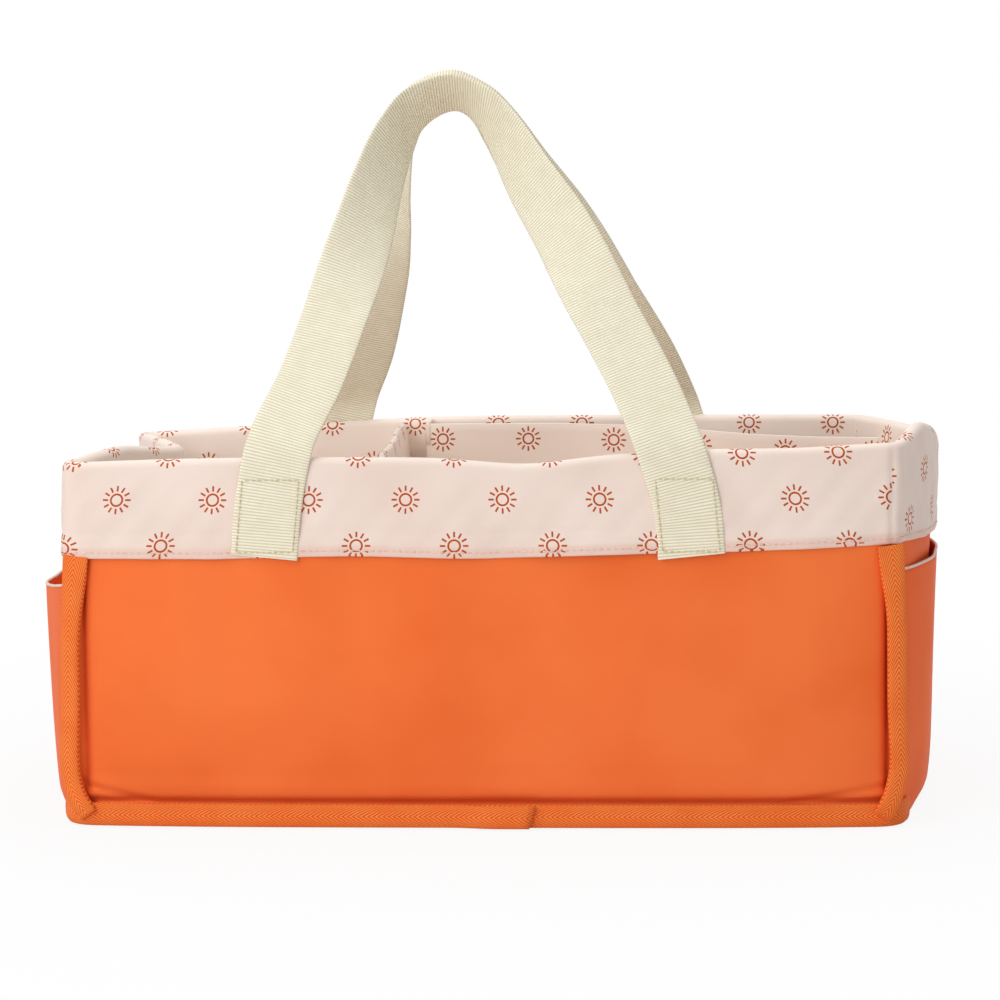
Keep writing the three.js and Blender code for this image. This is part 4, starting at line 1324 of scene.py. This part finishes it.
# Where each corner tape's middle lies: shares of the way down, and how far in from the corner, in
# tape widths
TAPE_PLACE_SHARES = {
    "left": [(0, 0.62), (0.33, 0.2), (0.57, 0.17), (0.8, 0.03), (0.92, 0.2), (1, 1.05)],
    "right": [(0, 0.64), (0.28, 0.28), (0.6, 0.24), (0.82, 0.07), (0.94, 0.4), (1, 1.0)],
}
# The height of a corner tape's foot, and how far its top runs up under the cuff
TAPE_FOOT = 6.5
TAPE_UNDER_CUFF = 1.5
# How far out from the wall a corner tape stands, how much further over the base tape, and the height
# that it begins to and how soon
TAPE_STAND = 2.4
TAPE_OVER_BASE = 2.6
OVER_BASE_HEIGHT = 24
OVER_BASE_REACH = 14
# How many degrees a corner tape turns to its side, how much thicker its inner side is, and how much
# wider its top
TAPE_FACING = 16
TAPE_RIDGE = 3.4
TAPE_SPREAD_SHARE = 0.4
# The base tape's stand, where its ends lap in front, and how far the outer end stands over the inner
BASE_TAPE_STAND = 2.0
LAP_X = -0.4
LAP_COLUMNS = 7
LAP_STAND = 3.0


class CADDY_OT_tapes(bpy.types.Operator):
    """Makes the herringbone tapes down the corner seams and round the base."""

    bl_idname = "caddy.tapes"
    bl_label = "Binding tapes"

    def execute(self, context):
        for end, facing in (("front", -1), ("back", 1)):
            for side, sideways in (("left", -1), ("right", 1)):
                self.add_corner_tape(f"{end}_{side}_tape", TAPE_PLACE_SHARES[side], sideways, facing)
        self.add_base_tape()
        return {"FINISHED"}

    def add_corner_tape(self, name, places, sideways, facing):
        """Down the corner seam: x = half width less an inset that bends with height, lying against the
        long wall, and out over the base tape at its foot."""
        width = bpy.context.scene.caddy_trim.tape_width / MM
        share = np.linspace(0, 1, 90)
        inset = smooth_row(np.interp(share, *np.array(places).T), 30)
        top = cad(name)[1][2] + TAPE_UNDER_CUFF
        height = top + (TAPE_FOOT - top) * share
        x = sideways * (HALF_WIDTH - inset * width)
        over = smooth_step((OVER_BASE_HEIGHT - height) / OVER_BASE_REACH)
        out = HALF_DEPTH + TAPE_STAND + TAPE_OVER_BASE * over
        path = np.stack([x, facing * out, height], axis=1)
        tangent = unit(np.gradient(path, axis=0))
        turn = math.radians(TAPE_FACING) * sideways
        face = np.array([math.sin(turn), facing * math.cos(turn), 0.0])
        wide = unit(np.cross(tangent, face))
        outwards = np.cross(wide, tangent)
        tape_piece(name, width, path, wide, outwards, start_thin=12, end_thin=6, ridge=TAPE_RIDGE,
                   spread=TAPE_SPREAD_SHARE)

    def add_base_tape(self):
        """Round the base on the walls' outline, its ends lapping in the middle of the front."""
        low, high = cad("base_tape")
        middle = (low[2] + high[2]) / 2
        heights = np.full((1, LOOP), middle)
        both = pocket_bow(SHORT_BASE_BOW, cad("left_pocket")[1][2])
        points = wall_points(heights, np.full((1, LOOP), BASE_TAPE_STAND), both)[0]
        start = int(np.argmin(np.abs(points[:LONG_COLUMNS, 0] - LAP_X)))
        order = np.arange(start, start + LOOP + LAP_COLUMNS) % LOOP
        path = points[order]
        normal = level_normals(points[None, :, :2])[order]
        lap = smooth_step((np.arange(len(order)) - (LOOP - 4)) / 6)
        path = path + normal * (lap * LAP_STAND)[:, None]
        wide = np.broadcast_to(np.array([0, 0, 1.0]), path.shape)
        width = bpy.context.scene.caddy_trim.base_tape_width / MM
        tape_piece("base_tape", width, path, wide, normal, end_thin=3, end_slant=1.6)


# The handles' middle line in the leaning plane: across from the left end to the right one, as shares
# of that span, and up, as shares of the rise
HANDLE_ACROSS_SHARES = [0.02, 0.085, 0.148, 0.2, 0.228, 0.27, 0.322, 0.42, 0.497, 0.545, 0.62, 0.704,
                        0.798, 0.92]
HANDLE_RISE_SHARES = [0.03, 0.191, 0.402, 0.598, 0.722, 0.862, 0.955, 1, 0.952, 0.885, 0.742, 0.598,
                      0.402, 0.148]
# Where each strap leaves the rim at its two ends, how far it rises over it and how far its top lies to
# the side
HANDLE_ENDS = {"front": (-98.0, 95.0), "back": (-90.0, 97.0)}
HANDLE_RISE = {"front": 204.0, "back": 207.0}
APEX_SHIFT = {"front": 0.0, "back": -9.0}
# How far a sewn end splays out to its foot, the strap's width, half the gap between a sewn end and the
# loop at their fold, and how near the tops of the two straps come to the middle
TAB_SPLAY = 5.0
WEBBING_WIDTH = 32.0
HINGE_HALF_GAP = 0.15
HANDLE_TOP_GAP = 0.7
# The stretch of strap that its bend is worked out over, from below the fold to past the top, in steps
# of a tenth of a millimetre
STRAP_REACH = (-80, 260)
STRAP_STEPS = 3401
# The stretch that the strap bends over at its fold: where it starts, up the strap, and its reach
FOLD_BEND = (-4, 14)
# The box of stitches on a sewn end: half its width, its foot and its top. Then the stitches' spacing,
# length, radius and stand off the webbing
BOX_HALF = 13.5
BOX_FOOT = 2.5
BOX_TOP = 37
BOX_SPACING = 2.9
BOX_STITCH = 2.2
BOX_RADIUS = 0.42
BOX_STAND = 0.25
# How far the strap has turned edge-on at shares of its rise, as shares of a quarter turn
TWIST_SHARES = [(0.36, 0), (0.46, 0.11), (0.55, 0.28), (0.665, 0.44), (0.733, 0.53), (0.825, 0.635),
                (0.92, 0.78), (1, 1)]


def webbing_line(end, count):
    """The strap's middle line as (across, up), from the foot of one sewn end to the foot of the other."""
    left, right = HANDLE_ENDS[end]
    rise, shift = HANDLE_RISE[end], APEX_SHIFT[end]
    drop = TAB_HIGH[2] - TAB_LOW[2]
    points = [(left - TAB_SPLAY, -drop), (left - TAB_SPLAY / 2, -drop / 2)]
    for across, up in zip(HANDLE_ACROSS_SHARES, HANDLE_RISE_SHARES):
        points.append((left + across * (right - left) + shift * smooth_step(up), rise * up))
    points += [(right + TAB_SPLAY / 2, -drop / 2), (right + TAB_SPLAY, -drop)]
    return curve_through(points, count)


def leaning_frame(up, lean, middle_out):
    """Where the strap's middle plane lies at a distance up it: upright on the wall, then bent over a
    short stretch into its lean. Gives out, height and the angle."""
    reach = np.linspace(*STRAP_REACH, STRAP_STEPS)
    angle = lean * rising(reach, *FOLD_BEND)
    step = reach[1] - reach[0]
    out = middle_out - np.append(0, np.cumsum(np.sin(angle[:-1]) * step))
    height = np.append(0, np.cumsum(np.cos(angle[:-1]) * step))
    height = height - np.interp(0, reach, height) + FOLD_HEIGHT
    return np.interp(up, reach, out), np.interp(up, reach, height), np.interp(up, reach, angle)


class CADDY_OT_handles(bpy.types.Operator):
    """Makes the two webbing handles with their sewn ends and stitching."""

    bl_idname = "caddy.handles"
    bl_label = "Webbing handles"

    def execute(self, context):
        for end, facing in (("front", -1), ("back", 1)):
            self.add_handle(end, facing)
        return {"FINISHED"}

    def add_handle(self, end, facing):
        """A strap: line + c across + n thick, in a plane that leans in from the fold. Its width turns
        from lying in that plane on the legs to standing square to it over the top."""
        trim = bpy.context.scene.caddy_trim
        pitch = trim.rib_pitch / MM
        middle_out = FOLD_OUT - HINGE_HALF_GAP - WEBBING_THICKNESS / 2
        lean = self.lean(end)
        line, _ = webbing_line(end, 500)
        # Four rows to a rib
        count = int(round(lengths_along(line)[-1] / pitch)) * 4 + 1
        line, places = webbing_line(end, count)
        tangent = unit(np.gradient(line, places, axis=0))
        twist = math.pi / 2 * np.interp(line[:, 1] / HANDLE_RISE[end], *np.array(TWIST_SHARES).T)
        twist = smooth_row(twist, 120)
        inward = np.stack([tangent[:, 1], -tangent[:, 0]], axis=1)
        across = np.concatenate([inward * np.cos(twist)[:, None], -np.sin(twist)[:, None]], axis=1)
        along = np.concatenate([tangent, np.zeros((count, 1))], axis=1)
        thick = np.cross(along, across)
        share = np.array([0, 0.2, 0.4, 0.6, 0.8, 0.93, 0.975, 1.0])
        share = np.concatenate([-share[:0:-1], share])
        rounding = np.sqrt(np.clip(1 - np.abs(share) ** 20, 0, 1)) * (1 - 0.15 * share ** 8)
        depth = WEBBING_THICKNESS / 2 * rounding
        side = np.concatenate([share, share[-2:0:-1]])
        face = np.concatenate([depth, -depth[-2:0:-1]])
        ribs = trim.rib_depth / MM * np.cos(2 * math.pi * places / pitch)
        ribbed = np.sign(face)[None] * ribs[:, None] * (np.abs(side) < 0.97)[None]
        local = np.concatenate([line, np.zeros((count, 1))], axis=1)[:, None]
        local = local + across[:, None] * (side * WEBBING_WIDTH / 2)[None, :, None]
        local = local + thick[:, None] * (face[None] + ribbed)[..., None]
        points = self.place(local, lean, middle_out, facing)
        columns = len(side)
        offset = np.concatenate([share, 2 - share[-2:0:-1]]) * WEBBING_WIDTH / 2
        u = np.broadcast_to(offset, (count, columns))
        v = np.broadcast_to(places[:, None], (count, columns))
        first = np.stack([u, v], axis=-1)
        second = np.roll(first, -1, axis=1)
        second[:, -1, 0] = first[:, -1, 0] + 2
        piece = surface(f"{end}_handle_strap", points, WEBBING, first, second, loop=True, caps=True)
        fix_faces(piece)
        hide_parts(f"{end}_handle", f"{end}_left_tab", f"{end}_right_tab")
        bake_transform(piece)
        self.add_stitches(end, facing, line, lean, middle_out)

    def lean(self, end):
        """The angle that the strap leans in at, for the inner edge of its top to reach mid-depth."""
        edge = WEBBING_WIDTH / 2 + HINGE_HALF_GAP + WEBBING_THICKNESS / 2
        reach = math.hypot(HANDLE_RISE[end], edge)
        return math.asin((FOLD_OUT - HANDLE_TOP_GAP) / reach) - math.atan2(edge, HANDLE_RISE[end])

    def place(self, local, lean, middle_out, facing):
        """Points given across, up and out of the leaning plane, put where the plane lies."""
        out, height, angle = leaning_frame(local[..., 1], lean, middle_out)
        out = out + local[..., 2] * np.cos(angle)
        height = height + local[..., 2] * np.sin(angle)
        return np.stack([local[..., 0], facing * out, height], axis=-1)

    def add_stitches(self, end, facing, line, lean, middle_out):
        """A box of stitches on each sewn end: four sides of a rectangle inside the webbing's edges."""
        rows = []
        for index in (0, -1):
            foot = line[index]
            corners = np.array([(-BOX_HALF, BOX_FOOT), (BOX_HALF, BOX_FOOT), (BOX_HALF, BOX_TOP),
                                (-BOX_HALF, BOX_TOP), (-BOX_HALF, BOX_FOOT)])
            lean_x = (HANDLE_ENDS[end][index] - foot[0]) / (TAB_HIGH[2] - TAB_LOW[2])
            x = foot[0] + corners[:, 0] + lean_x * corners[:, 1]
            up = foot[1] + corners[:, 1]
            for a, b in zip(range(4), range(1, 5)):
                t = np.linspace(0, 1, 20)
                local = np.stack([x[a] + (x[b] - x[a]) * t, up[a] + (up[b] - up[a]) * t,
                                  np.full(20, WEBBING_THICKNESS / 2 + BOX_STAND)], axis=1)
                path = self.place(local, lean, middle_out, facing)
                normals = np.broadcast_to(np.array([0.0, facing, 0.0]), path.shape)
                rows.append(capsules(path, normals, BOX_SPACING, BOX_STITCH, BOX_RADIUS))
        stitch_piece(f"{end}_handle_stitching", rows, THREAD)


# The lamps: where each stands and how wide it is, in metres, and the property with its power
LAMPS = {
    "key light": ((-1.25, -1.35, 1.4), 1.3, "key_power"),
    "gloss light": ((-0.75, -1.6, 0.55), 0.6, "gloss_power"),
    "top light": ((0.0, 0.3, 1.7), 1.4, "top_power"),
}
LAMP_TARGET = (0, 0, 0.12)
SENSOR_WIDTH = 36
FLOOR_HALF = 3000.0


class CADDY_OT_stage(bpy.types.Operator):
    """Sets the camera, the pale floor and the soft lights."""

    bl_idname = "caddy.stage"
    bl_label = "Stage"

    def execute(self, context):
        settings = context.scene.caddy_stage
        yaw, pitch, roll = settings.camera_yaw, settings.camera_pitch, settings.camera_roll
        ahead = np.array([math.sin(yaw) * math.cos(pitch), math.cos(yaw) * math.cos(pitch), -math.sin(pitch)])
        level = np.array([math.cos(yaw), -math.sin(yaw), 0])
        above = np.cross(level, ahead)
        right = level * math.cos(roll) + above * math.sin(roll)
        up = above * math.cos(roll) - level * math.sin(roll)
        lens = bpy.data.cameras.new("camera")
        lens.lens = settings.lens
        lens.sensor_width = SENSOR_WIDTH
        camera = bpy.data.objects.new("camera", lens)
        turn = np.eye(4)
        turn[:3, 0], turn[:3, 1], turn[:3, 2] = right, up, -ahead
        turn[:3, 3] = settings.camera_place
        camera.matrix_world = Matrix(turn.tolist())
        context.scene.collection.objects.link(camera)
        context.scene.camera = camera
        for name, (place, size, power) in LAMPS.items():
            self.add_lamp(name, place, size, getattr(settings, power))
        self.add_floor()
        self.add_world(settings.sky)
        context.scene.view_settings.view_transform = "Standard"
        return {"FINISHED"}

    def add_lamp(self, name, place, size, power):
        """A square soft light that looks at the caddy's middle."""
        lamp = bpy.data.lights.new(name, "AREA")
        lamp.size = size
        lamp.energy = power
        made = bpy.data.objects.new(name, lamp)
        back = unit(np.array(place) - LAMP_TARGET)
        side = unit(np.cross([0, 0, 1.0], back))
        turn = np.eye(4)
        turn[:3, 0], turn[:3, 1], turn[:3, 2], turn[:3, 3] = side, np.cross(back, side), back, place
        made.matrix_world = Matrix(turn.tolist())
        bpy.context.scene.collection.objects.link(made)

    def add_floor(self):
        """A wide floor of white paper. Seen straight on it is mostly plain white, and near the caddy a
        share of the lit paper stays in, which carries the soft shadow."""
        tree, shader = new_material(PAPER)
        place = node(tree, "TexCoord", out="Object")
        grain = node(tree, "TexNoise", {"Vector": place, "Scale": 900.0})
        colour = node(tree, "Mix", {0: grain, 6: linear("#eeeeee"), 7: linear("#f2f2f2")}, out=2,
                      data_type="RGBA")
        feed(tree, shader.inputs, {"Base Color": colour, "Roughness": 1.0, "Specular IOR Level": 0.0})
        distance = node(tree, "VectorMath", {0: place}, out="Value", operation="LENGTH")
        far = node(tree, "MapRange", {0: distance, 1: 0.25, 2: 0.6, 3: 0.9, 4: 1.0})
        share = node(tree, "Math", {0: far, 1: seen_plainly(tree)}, operation="MULTIPLY")
        white = node(tree, "Emission", {"Color": (1, 1, 1, 1), "Strength": 1.0})
        both = node(tree, "MixShader", {0: share, 1: shader.outputs[0], 2: white})
        tree.links.new(both, shader.outputs[0].links[0].to_node.inputs["Surface"])
        x, y = np.meshgrid([-FLOOR_HALF, FLOOR_HALF], [-FLOOR_HALF, FLOOR_HALF])
        floor = surface("floor", np.stack([x, y, 0 * x], axis=-1), PAPER)

    def add_world(self, strength):
        """White surroundings: even light on the caddy, and plain white to the eye."""
        world = bpy.data.worlds.new("surroundings")
        world.use_nodes = True
        bpy.context.scene.world = world
        tree = world.node_tree
        tree.nodes.clear()
        level = node(tree, "MapRange", {0: seen_plainly(tree), 3: strength, 4: 1.0})
        light = node(tree, "Background", {"Color": (1, 1, 1, 1), "Strength": level})
        output = tree.nodes.new("ShaderNodeOutputWorld")
        tree.links.new(light, output.inputs["Surface"])


def seen_plainly(tree):
    """1 for what the camera sees, straight on, in a gloss or through glass, and 0 for what lights."""
    rays = node(tree, "LightPath").node.outputs
    seen = node(tree, "Math", {0: rays["Is Camera Ray"], 1: rays["Is Glossy Ray"]}, operation="MAXIMUM")
    return node(tree, "Math", {0: seen, 1: rays["Is Transmission Ray"]}, operation="MAXIMUM")


class CADDY_PT_panel(bpy.types.Panel):
    """Lists the caddy's sizes, colours and pieces."""

    bl_label = "Nursery caddy"
    bl_idname = "CADDY_PT_panel"
    bl_space_type = "VIEW_3D"
    bl_region_type = "UI"
    bl_category = "Caddy"

    def draw(self, context):
        scene = context.scene
        for group in (scene.caddy_shape, scene.caddy_print, scene.caddy_trim, scene.caddy_colours,
                      scene.caddy_stage):
            box = self.layout.box()
            for name in group.bl_rna.properties.keys():
                if name not in ("rna_type", "name"):
                    box.prop(group, name)
        for operator in OPERATORS:
            self.layout.operator(operator.bl_idname)


OPERATORS = [
    CADDY_OT_materials,
    CADDY_OT_walls,
    CADDY_OT_lining,
    CADDY_OT_pockets,
    CADDY_OT_inner_pocket,
    CADDY_OT_divider,
    CADDY_OT_tapes,
    CADDY_OT_handles,
    CADDY_OT_stage,
]
GROUPS = {
    "caddy_shape": CaddyShape,
    "caddy_print": CaddyPrint,
    "caddy_trim": CaddyTrim,
    "caddy_colours": CaddyColours,
    "caddy_stage": CaddyStage,
}


def register():
    """Registers the classes and puts the property groups on the scene."""
    for group in (*GROUPS.values(), *OPERATORS, CADDY_PT_panel):
        bpy.utils.register_class(group)
    for name, group in GROUPS.items():
        setattr(bpy.types.Scene, name, bpy.props.PointerProperty(type=group))


def unregister():
    """Undoes what register does."""
    for name in GROUPS:
        delattr(bpy.types.Scene, name)
    for group in (CADDY_PT_panel, *OPERATORS[::-1], *GROUPS.values()):
        bpy.utils.unregister_class(group)


def main():
    """Builds the caddy and its stage."""
    register()
    bpy.ops.caddy.stage()
    bpy.ops.caddy.materials()
    bpy.ops.caddy.walls()
    bpy.ops.caddy.lining()
    bpy.ops.caddy.pockets()
    bpy.ops.caddy.inner_pocket()
    bpy.ops.caddy.divider()
    bpy.ops.caddy.tapes()
    bpy.ops.caddy.handles()


if __name__ == "__main__":
    main()
